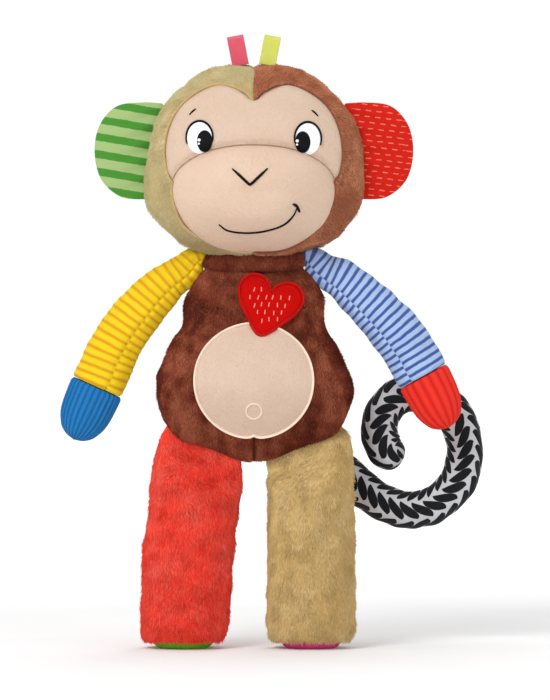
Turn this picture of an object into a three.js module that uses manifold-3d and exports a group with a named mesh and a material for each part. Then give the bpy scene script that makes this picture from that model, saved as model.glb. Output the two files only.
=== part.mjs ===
// A stuffed patchwork monkey: a soft toy sewn from plush, velour and printed cotton panels.
//
// Every panel, patch, stitched line and insert is its own closed solid. The frame is +Z up with the toy facing -Y,
// standing on its soles, and the origin is at the bottom centre of its bounding box. All sizes are millimetres.
import * as THREE from "three";
import { mergeVertices } from "three/addons/utils/BufferGeometryUtils.js";
import Module from "manifold-3d";

const wasm = await Module();
wasm.setup();

// ---------------------------------------------------------------- driving dimensions

// What every sewn piece shares.
const COVER = 2.0; // plush or cotton panel, backing and flattened pile together
const SEAM_GAP = 0.3; // between two panels, or a panel and what it holds
const PATCH = 0.9; // appliqué fabric
const THREAD = 0.8; // height of embroidery above its ground
const LIMB_GAP = 1.2; // loose cloth between a limb and the body beside it

// Legs and soles.
const LEG_LENGTH = 107; // hem to crotch
const LEG_WIDTH = 52;
const LEG_DEPTH = 42;
const SOLE_DROP = 5; // how far the stuffed sole stands below the hem
const SOLE_WIDTH = 42;
const SOLE_DEPTH = 33;
const SOLE_FLAT = 0.72; // share of the sole that is pressed flat by standing on it

// Torso: a pear with a curved hem where the legs hang.
const TORSO_HEIGHT = 121; // crotch to neck
const BELLY_WIDTH = 119;
const CHEST_WIDTH = 86;
const NECK_WIDTH = 60;
const BELLY_HEIGHT = 45; // widest place above the crotch
const CHEST_HEIGHT = 82;
const HIP_RISE = 23; // how far the hem climbs from the crotch to the hip
const TORSO_FRONT = 31;
const TORSO_BACK = 25;
const NECK_DEPTH = 16;

// Head.
const HEAD_WIDTH = 131;
const HEAD_HEIGHT = 115;
const HEAD_FRONT = 39;
const HEAD_BACK = 42;
const HEAD_FORWARD = 3; // the head leans this far ahead of the torso
const FACE_BORDER = 13; // plush left showing at the sides of the face
const FACE_TOP_BORDER = 12.5;
const FACE_NOTCH = 9.5; // depth of the widow's peak
const MUZZLE_STEP = 4; // the muzzle is this much narrower than the face on each side
const MUZZLE_LIFT = 3;
const MUZZLE_HEIGHT = 63;
const MUZZLE_BULGE = 12;
const NECK_GAP = 2.0;
const NECK_SEAM_WIDTH = 34;
const NECK_SEAM_DEPTH = 5;
const NECK_SEAM_HEIGHT = 0.9;

// Embroidered features.
const EYE_SPACING = 64;
const EYE_HEIGHT = 13.5; // above the middle of the head
const EYE_WIDTH = 15;
const EYE_TALL = 19;
const PUPIL_WIDTH = 9.2;
const PUPIL_TALL = 13;
const PUPIL_SQUINT = 2.9; // pupils sit this far towards the nose
const LINE_WIDTH = 1.5; // stitched outlines
const BROW_WIDTH = 1.2;
const BROW_HEIGHT = 29;
const BROW_SPACING = 73;
const BROW_LENGTH = 5.5;
const NOSE_WIDTH = 20.5;
const NOSE_DEPTH = 9;
const NOSE_HEIGHT = -5.5; // of the two upper ends, from the middle of the head
const SMILE_WIDTH = 45;
const SMILE_LEFT = -20.4; // left end, from the centre line
const SMILE_HEIGHT = -38;

// Ears and ribbon loops.
const EAR_REACH = 30;
const EAR_HEIGHT = 58;
const EAR_LIFT = 6; // ear centre above the middle of the head
const EAR_FABRIC = 1.1;
const EAR_FILM = 0.4;
const RIBBON_WIDTH = 10;
const RIBBON_HEIGHT = 16.5;
const RIBBON_GAP = 3;
const RIBBON_THICKNESS = 0.6;
const RIBBON_SPACING = 16.5;
const RIBBON_SPLAY = 11; // degrees that each loop leans outwards

// Arms.
const ARM_LENGTH = 95; // shoulder stitch to cuff, in a straight line
const ARM_WIDTH = 31.5;
const ARM_DEPTH = 25;
const HAND_LENGTH = 35;
const HAND_TIP = 0.72; // the hand's width near its end, as a share of the wrist
const ARM_SEAM_LENGTH = 3; // the bar of stitches that holds an arm
const TAIL_SEAM_LENGTH = 7; // the bar of stitches that holds the tail
const SEAM_RADIUS = 0.9;
const ARM_PLANE = -5; // the arms hang this far ahead of the torso's middle
const SHOULDER_DROP = 3; // shoulder stitch below the top of the torso

// Tail: a stuffed tube sewn into the back, which curls beside the leg.
const TAIL_DIAMETER = 22.5;
const TAIL_ROOT_X = 9; // sewn on a little to one side
const TAIL_ROOT_ABOVE = 21; // over the crotch
const TAIL_TAPER = 26; // length over which the root swells to full size
const TAIL_ROOT_SHARE = 0.22; // its size where it is sewn on
const TAIL_CLEARANCE = 3; // behind the leg it curls past

// Appliqués on the torso.
const PATCH_WIDTH = 71;
const PATCH_HEIGHT = 69;
const PATCH_CENTRE = 49; // above the crotch
const PATCH_BORDER = 2.2;
const NAVEL_RADIUS = 4.6;
const NAVEL_BELOW = 18; // under the patch's centre
const HEART_SIZE = 38;
const HEART_BORDER = 2.4;
const HEART_X = 8.2;
const HEART_ABOVE = 44; // over the patch's centre
const HEART_TILT = 15; // degrees

// Inserts.
const RATTLE_RADIUS = 15;
const RATTLE_WALL = 1.4;
const RATTLE_ABOVE = 24; // capsule centre over the patch's centre
const BEAD_RADIUS = 2.5;
const BEAD_SPACING = 5.7;
const BEAD_PLAY = 0.4;
const SQUEAKER_RADIUS = 13;
const SQUEAKER_HEIGHT = 13;
const SQUEAKER_WALL = 1.2;
const SQUEAKER_TRAVEL = 5;
const SQUEAKER_COVERED = 1.5; // the least space in front of the cap's rim
const REED_RADIUS = 3.4;
const REED_LENGTH = 6;

// Segment counts of the plain closed solids.
const AROUND = 26;
const ALONG = 15;
const LIMB_AROUND = 14;
const OUTLINE_SAMPLES = 180;
const CURVE_STEPS = 14;
const FAR = 400; // longer than anything here, for cutting blocks

// ---------------------------------------------------------------- places worked out from them

const HEM_Z = SOLE_DROP;
const CROTCH_Z = HEM_Z + LEG_LENGTH;
const NECK_Z = CROTCH_Z + TORSO_HEIGHT;
const HEAD_BOTTOM = NECK_Z + NECK_GAP;
const HEAD_Z = HEAD_BOTTOM + HEAD_HEIGHT / 2;
const TORSO_Z = CROTCH_Z + 0.45 * TORSO_HEIGHT;
const PATCH_Z = CROTCH_Z + PATCH_CENTRE;
const HIP_X = 0.87 * (BELLY_WIDTH / 2);
const TAIL_Y = Math.max(LEG_DEPTH / 2, ARM_PLANE + ARM_DEPTH / 2 + 4) + TAIL_DIAMETER / 2 + TAIL_CLEARANCE;

// Height of the torso's hem over the crotch at a distance from the centre line.
const hemRise = (x) => HIP_RISE * Math.pow(Math.abs(x) / HIP_X, 1.74);

// ---------------------------------------------------------------- shaping helpers

// A closed three.js geometry as a manifold-3d solid, its faces turned outwards.
function solidFrom(geometry) {
  const bare = geometry.index ? geometry.toNonIndexed() : geometry.clone();
  bare.deleteAttribute("normal");
  bare.deleteAttribute("uv");
  const merged = mergeVertices(bare, 1e-4);
  const triangles = [];
  const index = merged.index.array;
  for (let i = 0; i < index.length; i += 3) {
    const [a, b, c] = [index[i], index[i + 1], index[i + 2]];
    if (a !== b && b !== c && a !== c) triangles.push(a, b, c);
  }
  const build = (order) => {
    const mesh = new wasm.Mesh({
      numProp: 3,
      vertProperties: merged.attributes.position.array,
      triVerts: new Uint32Array(order),
    });
    return new wasm.Manifold(mesh);
  };
  const made = build(triangles);
  return made.volume() > 0 ? made : build(triangles.reverse());
}

// A manifold-3d solid as a three.js geometry.
function geometryFrom(solid) {
  const mesh = solid.getMesh();
  const points = new Float32Array(mesh.numVert * 3);
  for (let i = 0; i < mesh.numVert; i++) {
    points.set(mesh.vertProperties.subarray(i * mesh.numProp, i * mesh.numProp + 3), i * 3);
  }
  const geometry = new THREE.BufferGeometry();
  geometry.setAttribute("position", new THREE.BufferAttribute(points, 3));
  geometry.setIndex(new THREE.BufferAttribute(mesh.triVerts, 1));
  geometry.computeVertexNormals();
  return geometry;
}

// A box solid between two corners.
function block(low, high) {
  const size = high.map((h, k) => h - low[k]);
  const box = new THREE.BoxGeometry(...size);
  box.translate(...low.map((l, k) => l + size[k] / 2));
  return solidFrom(box);
}

// The half of a solid on one side of x = cut, kept back by half a seam gap.
function sideOf(solid, side) {
  const edge = (side * SEAM_GAP) / 2;
  const [low, high] = side > 0 ? [edge, FAR] : [-FAR, edge];
  return solid.intersect(block([low, -FAR, -FAR], [high, FAR, 2 * FAR]));
}

// The front (-1) or back (+1) of a solid about y = at, kept back by half a seam gap.
function depthHalf(solid, at, side) {
  const edge = at + (side * SEAM_GAP) / 2;
  const [low, high] = side > 0 ? [edge, FAR] : [-FAR, edge];
  return solid.intersect(block([-FAR, low, -FAR], [FAR, high, 2 * FAR]));
}

// Points of a smooth closed outline that is the same on both sides, from its right half listed bottom to top.
function mirroredLoop(half, count) {
  const left = half.filter(([x]) => x > 1e-9).map(([x, z]) => [-x, z]).reverse();
  const points = [...half, ...left].map(([x, z]) => new THREE.Vector3(x, z, 0));
  const curve = new THREE.CatmullRomCurve3(points, true, "centripetal");
  return curve.getSpacedPoints(count).slice(0, count).map((p) => new THREE.Vector2(p.x, p.y));
}

// The radius of a closed outline at an angle about its own origin.
function radiusOf(loop) {
  const turns = loop.map((p) => ({ angle: Math.atan2(p.y, p.x), radius: p.length() }));
  turns.sort((a, b) => a.angle - b.angle);
  turns.unshift({ angle: turns.at(-1).angle - 2 * Math.PI, radius: turns.at(-1).radius });
  turns.push({ angle: turns[1].angle + 2 * Math.PI, radius: turns[1].radius });
  return (angle) => {
    const after = turns.findIndex((t) => t.angle >= angle);
    const [a, b] = [turns[after - 1], turns[after]];
    return THREE.MathUtils.mapLinear(angle, a.angle, b.angle, a.radius, b.radius);
  };
}

// A closed loop moved outwards along its own normals.
function grownLoop(loop, distance) {
  const turn = THREE.ShapeUtils.isClockWise(loop) ? -1 : 1;
  return loop.map((p, i) => {
    const before = loop.at(i - 1);
    const after = loop[(i + 1) % loop.length];
    const along = after.clone().sub(before).normalize();
    return new THREE.Vector2(p.x + turn * along.y * distance, p.y - turn * along.x * distance);
  });
}

// A loop drawn in x and z, pulled through y between two depths.
function prism(loop, yLow, yHigh, centre = [0, 0]) {
  const moved = loop.map((p) => new THREE.Vector2(p.x + centre[0], p.y + centre[1]));
  const body = new THREE.ExtrudeGeometry(new THREE.Shape(moved), { depth: yHigh - yLow, bevelEnabled: false, steps: 1 });
  body.rotateX(Math.PI / 2);
  body.translate(0, yHigh, 0);
  return solidFrom(body);
}

// A stroke of stitches of one width along a smooth line through points.
function strokeLoop(points, width, steps) {
  const curve = new THREE.CatmullRomCurve3(points.map(([x, z]) => new THREE.Vector3(x, z, 0)));
  const right = [];
  const left = [];
  for (let i = 0; i <= steps; i++) {
    const at = curve.getPointAt(i / steps);
    const along = curve.getTangentAt(i / steps);
    right.push(new THREE.Vector2(at.x + (along.y * width) / 2, at.y - (along.x * width) / 2));
    left.push(new THREE.Vector2(at.x - (along.y * width) / 2, at.y + (along.x * width) / 2));
  }
  return [...right, ...left.reverse()];
}

function ellipseLoop(halfWidth, halfHeight, count) {
  const curve = new THREE.EllipseCurve(0, 0, halfWidth, halfHeight);
  return curve.getPoints(count).slice(0, count);
}

// A stuffed pillow: its rim follows a front outline, and it swells to the front and back depths.
// Each direction (x, y, z) of a unit sphere goes to rim(angle) in the front view and to depth * y in the side view.
function pillow({ radius, centre, front, back, relief = () => 0, inset = 0, around = AROUND, along = ALONG }) {
  const sphere = new THREE.SphereGeometry(1, around, along);
  const place = sphere.attributes.position;
  for (let i = 0; i < place.count; i++) {
    const [dx, dy, dz] = [place.getX(i), place.getY(i), place.getZ(i)];
    const angle = Math.atan2(dz, dx);
    const reach = (radius(angle) - inset) * Math.hypot(dx, dz);
    const x = reach * Math.cos(angle);
    const z = reach * Math.sin(angle);
    const depth = (dy < 0 ? front(z) : back(z)) - inset;
    const swell = dy < 0 ? relief(x, z) * Math.min(1, -2 * dy) : 0;
    place.setXYZ(i, centre[0] + x, centre[1] + depth * dy - swell, centre[2] + z);
  }
  return solidFrom(sphere);
}

// A limb: rings along a path, each with its own half width and half depth; the first and last close to a point.
// place(ring, side, depth) gives the point of a ring at side and depth, both from -1 to 1.
function limb(ringCount, place, around = LIMB_AROUND) {
  const sphere = new THREE.SphereGeometry(1, around, ringCount - 1);
  const points = sphere.attributes.position;
  for (let i = 0; i < points.count; i++) {
    const ring = Math.floor(i / (around + 1));
    const turn = (2 * Math.PI * (i % (around + 1))) / around;
    const p = place(ring, Math.cos(turn), Math.sin(turn));
    points.setXYZ(i, p.x, p.y, p.z);
  }
  return solidFrom(sphere);
}

const smooth = (t) => THREE.MathUtils.smoothstep(t, 0, 1);
const mix = THREE.MathUtils.lerp;

// ---------------------------------------------------------------- materials

const cloth = (colour, roughness) => new THREE.MeshStandardMaterial({ color: colour, roughness, metalness: 0 });
const FINISH = {
  beigePlush: cloth("#c9ae72", 0.95),
  brownPlush: cloth("#7a3f2a", 0.95),
  redPlush: cloth("#e8392e", 0.95),
  fleshVelour: cloth("#eccbb0", 0.9),
  bellyVelour: cloth("#e3c3ae", 0.9),
  creamThread: cloth("#f2dcc2", 0.6),
  blackThread: cloth("#15151a", 0.5),
  whiteThread: cloth("#f5f4f6", 0.55),
  greenStripe: cloth("#79c25a", 0.8),
  redDash: cloth("#e3170d", 0.75),
  pinkSatin: cloth("#e43d60", 0.35),
  limeSatin: cloth("#c6d634", 0.35),
  redThread: cloth("#c81216", 0.6),
  yellowJersey: cloth("#f5cf1c", 0.85),
  blueCord: cloth("#1f73bd", 0.85),
  blueStripe: cloth("#94ade4", 0.85),
  redRib: cloth("#f13a2d", 0.85),
  greenSole: cloth("#79b63c", 0.8),
  pinkSole: cloth("#d94f8c", 0.8),
  leafPrint: cloth("#55565c", 0.8),
  stuffing: cloth("#f4f4f0", 1.0),
  film: cloth("#dfe6ec", 0.2),
  plastic: cloth("#f1f1f4", 0.4),
  bead: cloth("#e2b33a", 0.3),
};

const monkey = new THREE.Group();

function add(name, solid, material) {
  const mesh = new THREE.Mesh(geometryFrom(solid), material);
  mesh.name = name;
  monkey.add(mesh);
  return mesh;
}

// ---------------------------------------------------------------- torso

const torsoHalf = [
  ...[0, 0.35, 0.66, 0.9].map((share) => [share * HIP_X, CROTCH_Z + hemRise(share * HIP_X)]),
  [0.96 * (BELLY_WIDTH / 2), CROTCH_Z + 0.72 * BELLY_HEIGHT],
  [BELLY_WIDTH / 2, CROTCH_Z + BELLY_HEIGHT],
  [mix(CHEST_WIDTH, BELLY_WIDTH, 0.55) / 2, CROTCH_Z + mix(BELLY_HEIGHT, CHEST_HEIGHT, 0.55)],
  [CHEST_WIDTH / 2, CROTCH_Z + CHEST_HEIGHT],
  [mix(NECK_WIDTH, CHEST_WIDTH, 0.8) / 2, mix(NECK_Z, CROTCH_Z + CHEST_HEIGHT, 0.55)],
  [NECK_WIDTH / 2, NECK_Z - 5],
  [0.6 * (NECK_WIDTH / 2), NECK_Z - 0.6],
  [0, NECK_Z],
].map(([x, z]) => [x, z - TORSO_Z]);
const torsoLoop = mirroredLoop(torsoHalf, OUTLINE_SAMPLES);
const torsoRadius = radiusOf(torsoLoop);

// The torso's widest reach from the centre line at or above a height.
function torsoHalfWidthAt(z) {
  return Math.max(...torsoLoop.filter((p) => p.y + TORSO_Z >= z).map((p) => p.x));
}

// Half the torso's depth at a height: full at the belly, slimmer at the neck and towards the hem.
function torsoDepth(full) {
  return (z) => {
    const share = (z + TORSO_Z - CROTCH_Z) / TORSO_HEIGHT;
    const upper = mix(full, NECK_DEPTH, smooth((share - 0.45) / 0.55));
    return upper * mix(0.62, 1, smooth(share / 0.4));
  };
}

// Where the torso's outside stands in y at a place in the front view: ahead (-1) or behind (+1).
function torsoSurfaceAt(x, z, side) {
  const reach = Math.hypot(x, z - TORSO_Z) / torsoRadius(Math.atan2(z - TORSO_Z, x));
  const full = torsoDepth(side < 0 ? TORSO_FRONT : TORSO_BACK);
  return side * full(z - TORSO_Z) * Math.sqrt(1 - reach * reach);
}

function torsoSkin(inset) {
  return pillow({
    radius: torsoRadius,
    centre: [0, 0, TORSO_Z],
    front: torsoDepth(TORSO_FRONT),
    back: torsoDepth(TORSO_BACK),
    inset,
  });
}

// A piece of cloth or stitching that lies on a skin, from `lift` above it and `height` thick.
function laidOn(skin, outline, lift, height) {
  return outline.intersect(skin(-lift - height)).subtract(skin(-lift));
}

const torsoShell = torsoSkin(0).subtract(torsoSkin(COVER));
add("torso_front_cover", depthHalf(torsoShell, 0, -1), FINISH.brownPlush);
add("torso_back_cover", depthHalf(torsoShell, 0, 1), FINISH.brownPlush);

// The belly patch, its stitched border and the navel ring. The patch is nicked where the crotch dart meets it.
const patchLoop = ellipseLoop(PATCH_WIDTH / 2, PATCH_HEIGHT / 2, 28);
const onTorso = (loop, centre) => prism(loop, -FAR, -6, centre);
const patchAt = [0, PATCH_Z];
const patchBody = onTorso(patchLoop, patchAt);
const patchInside = onTorso(grownLoop(patchLoop, -PATCH_BORDER), patchAt);
const patchClear = onTorso(grownLoop(patchLoop, -PATCH_BORDER - SEAM_GAP), patchAt);

const HEART_Z = PATCH_Z + HEART_ABOVE;
const heartHalf = [
  [0, -0.5],
  [0.27, -0.25],
  [0.47, 0.05],
  [0.5, 0.26],
  [0.38, 0.43],
  [0.2, 0.45],
  [0.05, 0.34],
  [0, 0.25],
];

// The heart's outline: two lobes, turned so that its point leans towards the centre line.
function heartLoop(grow) {
  const half = heartHalf.map(([x, z]) => [x * HEART_SIZE * 1.06, z * HEART_SIZE]);
  const turned = grownLoop(mirroredLoop(half, 32), grow);
  const tilt = THREE.MathUtils.degToRad(-HEART_TILT);
  return turned.map((p) => p.rotateAround(new THREE.Vector2(), tilt));
}

const heartAt = [HEART_X, HEART_Z];
const heartZone = onTorso(heartLoop(SEAM_GAP), heartAt);
const navelRing = onTorso(ellipseLoop(NAVEL_RADIUS, NAVEL_RADIUS, 16), [0, PATCH_Z - NAVEL_BELOW]).subtract(
  onTorso(ellipseLoop(NAVEL_RADIUS - LINE_WIDTH, NAVEL_RADIUS - LINE_WIDTH, 16), [0, PATCH_Z - NAVEL_BELOW]),
);
add("belly_patch", laidOn(torsoSkin, patchClear.subtract(heartZone), SEAM_GAP, PATCH), FINISH.bellyVelour);
add(
  "belly_patch_border",
  laidOn(torsoSkin, patchBody.subtract(patchInside).subtract(heartZone), SEAM_GAP, PATCH + SEAM_GAP),
  FINISH.creamThread,
);
add("navel_stitch", laidOn(torsoSkin, navelRing, 2 * SEAM_GAP + PATCH, THREAD), FINISH.creamThread);
const heartInside = onTorso(heartLoop(-HEART_BORDER - SEAM_GAP), heartAt);
const heartRim = onTorso(heartLoop(0), heartAt).subtract(onTorso(heartLoop(-HEART_BORDER), heartAt));
add("heart_patch", laidOn(torsoSkin, heartInside, SEAM_GAP, PATCH), FINISH.redDash);
add("heart_border_stitch", laidOn(torsoSkin, heartRim, SEAM_GAP, PATCH + SEAM_GAP), FINISH.redThread);

// ---------------------------------------------------------------- inserts in the torso's stuffing

const RATTLE_Z = PATCH_Z + RATTLE_ABOVE;
const ball = (radius, centre, around, along) => {
  const sphere = new THREE.SphereGeometry(radius, around, along);
  sphere.translate(...centre);
  return solidFrom(sphere);
};
const rattleAt = [0, 1, RATTLE_Z];
const capsule = ball(RATTLE_RADIUS, rattleAt, 20, 12).subtract(ball(RATTLE_RADIUS - RATTLE_WALL, rattleAt, 20, 12));
add("rattle_shell_front", depthHalf(capsule, rattleAt[1], -1), FINISH.plastic);
add("rattle_shell_back", depthHalf(capsule, rattleAt[1], 1), FINISH.plastic);

// Three beads roll round the capsule side by side, each in a plane of its own.
[-1, 0, 1].forEach((lane, i) => {
  const reach = RATTLE_RADIUS - RATTLE_WALL - BEAD_RADIUS - BEAD_PLAY;
  const aside = lane * BEAD_SPACING;
  const drop = Math.sqrt(reach * reach - aside * aside);
  add(`rattle_bead_${i + 1}`, ball(BEAD_RADIUS, [0, rattleAt[1] + aside, RATTLE_Z - drop], 10, 6), FINISH.bead);
});

// A cylinder along y.
function rod(radius, yLow, yHigh, z, around) {
  const cylinder = new THREE.CylinderGeometry(radius, radius, yHigh - yLow, around);
  cylinder.translate(0, (yLow + yHigh) / 2, z);
  return solidFrom(cylinder);
}

// The squeaker lies behind the navel: a soft cap that is pressed over a fixed base, which holds the reed.
const SQUEAKER_Z = PATCH_Z - NAVEL_BELOW;
const SQUEAKER_FRONT = torsoSurfaceAt(SQUEAKER_RADIUS / 2, SQUEAKER_Z - SQUEAKER_RADIUS, -1) + COVER + SQUEAKER_COVERED;
const capBack = SQUEAKER_FRONT + SQUEAKER_HEIGHT - SQUEAKER_TRAVEL;
const squeakBack = SQUEAKER_FRONT + SQUEAKER_HEIGHT + SQUEAKER_WALL;
const cap = rod(SQUEAKER_RADIUS, SQUEAKER_FRONT, capBack, SQUEAKER_Z, 24).subtract(
  rod(SQUEAKER_RADIUS - SQUEAKER_WALL, SQUEAKER_FRONT + SQUEAKER_WALL, capBack + 1, SQUEAKER_Z, 24),
);
const sleeveRadius = SQUEAKER_RADIUS - SQUEAKER_WALL - SEAM_GAP;
const sleeveFront = SQUEAKER_FRONT + SQUEAKER_WALL + SQUEAKER_TRAVEL + SEAM_GAP;
const base = rod(SQUEAKER_RADIUS, capBack + SQUEAKER_TRAVEL + SEAM_GAP, squeakBack + SEAM_GAP, SQUEAKER_Z, 24)
  .add(rod(sleeveRadius, sleeveFront, squeakBack, SQUEAKER_Z, 24))
  .subtract(rod(sleeveRadius - SQUEAKER_WALL, sleeveFront - 1, squeakBack - SQUEAKER_WALL, SQUEAKER_Z, 24))
  .subtract(rod(REED_RADIUS + SEAM_GAP, 0 - FAR, FAR, SQUEAKER_Z, 12));
add("squeaker_cap", cap, FINISH.plastic);
add("squeaker_base", base, FINISH.plastic);
add(
  "squeaker_reed",
  rod(REED_RADIUS, squeakBack - REED_LENGTH + SEAM_GAP, squeakBack + SEAM_GAP, SQUEAKER_Z, 12).subtract(
    rod(REED_RADIUS / 2, squeakBack - REED_LENGTH - 1, squeakBack + 1, SQUEAKER_Z, 8),
  ),
  FINISH.plastic,
);

// The stuffing, with a pocket for each insert. Each pocket opens where the insert was pushed in.
const rattlePocket = ball(RATTLE_RADIUS + SEAM_GAP, rattleAt, 20, 12).add(rod(RATTLE_RADIUS / 2, rattleAt[1], FAR, RATTLE_Z, 12));
const squeakPocket = rod(SQUEAKER_RADIUS + SEAM_GAP, -FAR, squeakBack + 2 * SEAM_GAP, SQUEAKER_Z, 24);
add(
  "torso_stuffing",
  torsoSkin(COVER + SEAM_GAP).subtract(rattlePocket).subtract(squeakPocket),
  FINISH.stuffing,
);

// ---------------------------------------------------------------- head

const headHalf = [
  [0, 0],
  [0.35, 0.012],
  [0.69, 0.085],
  [0.95, 0.25],
  [1, 0.44],
  [0.92, 0.68],
  [0.7, 0.855],
  [0.37, 0.975],
  [0, 1],
].map(([x, z]) => [(x * HEAD_WIDTH) / 2, (z - 0.5) * HEAD_HEIGHT]);
const headRadius = radiusOf(mirroredLoop(headHalf, OUTLINE_SAMPLES));

const faceSide = HEAD_WIDTH / 2 - FACE_BORDER;
const faceTop = HEAD_HEIGHT / 2 - FACE_TOP_BORDER;
const muzzleSide = faceSide - MUZZLE_STEP;
const muzzleLow = -HEAD_HEIGHT / 2 + MUZZLE_LIFT;
const muzzleTop = muzzleLow + MUZZLE_HEIGHT;

const muzzleHalf = [
  [0, 0],
  [0.42, 0.03],
  [0.84, 0.25],
  [1, 0.56],
  [0.93, 0.76],
  [0.6, 0.93],
  [0, 1],
].map(([x, z]) => [x * muzzleSide, muzzleLow + z * MUZZLE_HEIGHT]);
const muzzleLoop = mirroredLoop(muzzleHalf, 32);

const faceHalf = [
  [0, muzzleTop - 20],
  [0.9 * faceSide, muzzleTop - 22],
  [faceSide, muzzleTop - 9],
  [0.96 * faceSide, mix(muzzleTop, faceTop, 0.3)],
  [0.78 * faceSide, mix(muzzleTop, faceTop, 0.72)],
  [0.4 * faceSide, faceTop],
  [0.14 * faceSide, faceTop - 0.45 * FACE_NOTCH],
  [0, faceTop - FACE_NOTCH],
];
const faceLoop = mirroredLoop(faceHalf, 40);

// The muzzle stands out of the face as a low dome.
function muzzleRelief(x, z) {
  const across = x / (1.08 * muzzleSide);
  const up = (z - (muzzleLow + 0.5 * MUZZLE_HEIGHT)) / (0.56 * MUZZLE_HEIGHT);
  return MUZZLE_BULGE * smooth(1.35 * (1 - Math.hypot(across, up)));
}

function headSkin(inset) {
  return pillow({
    radius: headRadius,
    centre: [0, -HEAD_FORWARD, HEAD_Z],
    front: () => HEAD_FRONT,
    back: () => HEAD_BACK,
    relief: muzzleRelief,
    inset,
  });
}

const onHead = (loop) => prism(loop, -FAR, -HEAD_FORWARD - 4, [0, HEAD_Z]);
const headShell = headSkin(0).subtract(headSkin(COVER));
const faceHole = onHead(grownLoop(faceLoop, SEAM_GAP / 2)).add(onHead(grownLoop(muzzleLoop, SEAM_GAP / 2)));
const hood = headShell.subtract(faceHole);
add("head_cover_beige", sideOf(hood, -1), FINISH.beigePlush);
add("head_cover_brown", sideOf(hood, 1), FINISH.brownPlush);
add(
  "face_panel",
  headShell.intersect(onHead(grownLoop(faceLoop, -SEAM_GAP / 2))).subtract(onHead(grownLoop(muzzleLoop, SEAM_GAP / 2))),
  FINISH.fleshVelour,
);
add("muzzle_panel", headShell.intersect(onHead(grownLoop(muzzleLoop, -SEAM_GAP / 2))), FINISH.fleshVelour);
add("head_stuffing", headSkin(COVER + SEAM_GAP), FINISH.stuffing);

// Each eye: white ground, black pupil let into it, and an arched lid line over the outer and upper edge.
[-1, 1].forEach((side) => {
  const name = side < 0 ? "left" : "right";
  const centre = [(side * EYE_SPACING) / 2, EYE_HEIGHT];
  const at = (loop) => loop.map((p) => new THREE.Vector2(p.x + centre[0], p.y + centre[1]));
  const pupilLoop = (grow) => {
    const oval = ellipseLoop(PUPIL_WIDTH / 2 + grow, PUPIL_TALL / 2 + grow, 14);
    return at(oval.map((p) => new THREE.Vector2(p.x - side * PUPIL_SQUINT, p.y - 2)));
  };
  const lid = [-5, 30, 65, 100, 128, 155].map((degrees) => {
    const angle = THREE.MathUtils.degToRad(degrees);
    return [centre[0] + side * (EYE_WIDTH / 2 + 0.9) * Math.cos(angle), centre[1] + (EYE_TALL / 2 + 0.9) * Math.sin(angle)];
  });
  const lidZone = onHead(strokeLoop(lid, LINE_WIDTH, CURVE_STEPS));
  const lidClear = onHead(strokeLoop(lid, LINE_WIDTH + 2 * SEAM_GAP, CURVE_STEPS));
  const pupil = onHead(pupilLoop(0)).subtract(lidClear);
  const white = onHead(at(ellipseLoop(EYE_WIDTH / 2, EYE_TALL / 2, 18))).subtract(onHead(pupilLoop(SEAM_GAP))).subtract(lidClear);
  const largest = (solid) => solid.decompose().sort((a, b) => b.volume() - a.volume())[0];
  add(`${name}_eye_white`, largest(laidOn(headSkin, white, SEAM_GAP, THREAD)), FINISH.whiteThread);
  add(`${name}_eye_pupil`, largest(laidOn(headSkin, pupil, SEAM_GAP, THREAD)), FINISH.blackThread);
  add(`${name}_eye_lid`, laidOn(headSkin, lidZone, SEAM_GAP, THREAD), FINISH.blackThread);
  const brow = [
    [side * (BROW_SPACING / 2 + BROW_LENGTH / 2), BROW_HEIGHT - 2],
    [(side * BROW_SPACING) / 2, BROW_HEIGHT + 0.8],
    [side * (BROW_SPACING / 2 - BROW_LENGTH / 2), BROW_HEIGHT + 2],
  ];
  add(`${name}_brow_stitch`, laidOn(headSkin, onHead(strokeLoop(brow, BROW_WIDTH, 4)), SEAM_GAP, THREAD), FINISH.blackThread);
});

// The nose is a V of two straight runs, and the smile a long curve that ends in a dimple.
const nose = [
  [-NOSE_WIDTH / 2, NOSE_HEIGHT],
  [0, NOSE_HEIGHT - NOSE_DEPTH],
  [NOSE_WIDTH / 2, NOSE_HEIGHT],
];
const noseRun = (from, to) => onHead(strokeLoop([from, to], LINE_WIDTH, 1));
const noseLine = noseRun(nose[0], [nose[1][0] + 0.5, nose[1][1] - 0.4]).add(noseRun([nose[1][0] - 0.5, nose[1][1] - 0.4], nose[2]));
add("nose_stitch", laidOn(headSkin, noseLine, SEAM_GAP, THREAD), FINISH.blackThread);
const smile = [
  [0, 0],
  [0.11, -3.4],
  [0.28, -5],
  [0.48, -4.9],
  [0.7, -3.3],
  [0.86, 0.8],
  [1, 9.4],
].map(([x, z]) => [SMILE_LEFT + x * SMILE_WIDTH, SMILE_HEIGHT + z]);
const dimple = [-3, -1, 2].map((x) => [SMILE_LEFT + SMILE_WIDTH + x * 0.9, SMILE_HEIGHT + 9.6 - 0.35 * x * x * Math.sign(x) - 0.8 * x]);
const smileLine = onHead(strokeLoop(smile, LINE_WIDTH, CURVE_STEPS)).add(onHead(strokeLoop(dimple, LINE_WIDTH, 4)));
add("smile_stitch", laidOn(headSkin, smileLine, SEAM_GAP, THREAD), FINISH.blackThread);

// ---------------------------------------------------------------- ears: two fabrics over a crinkling film

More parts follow.
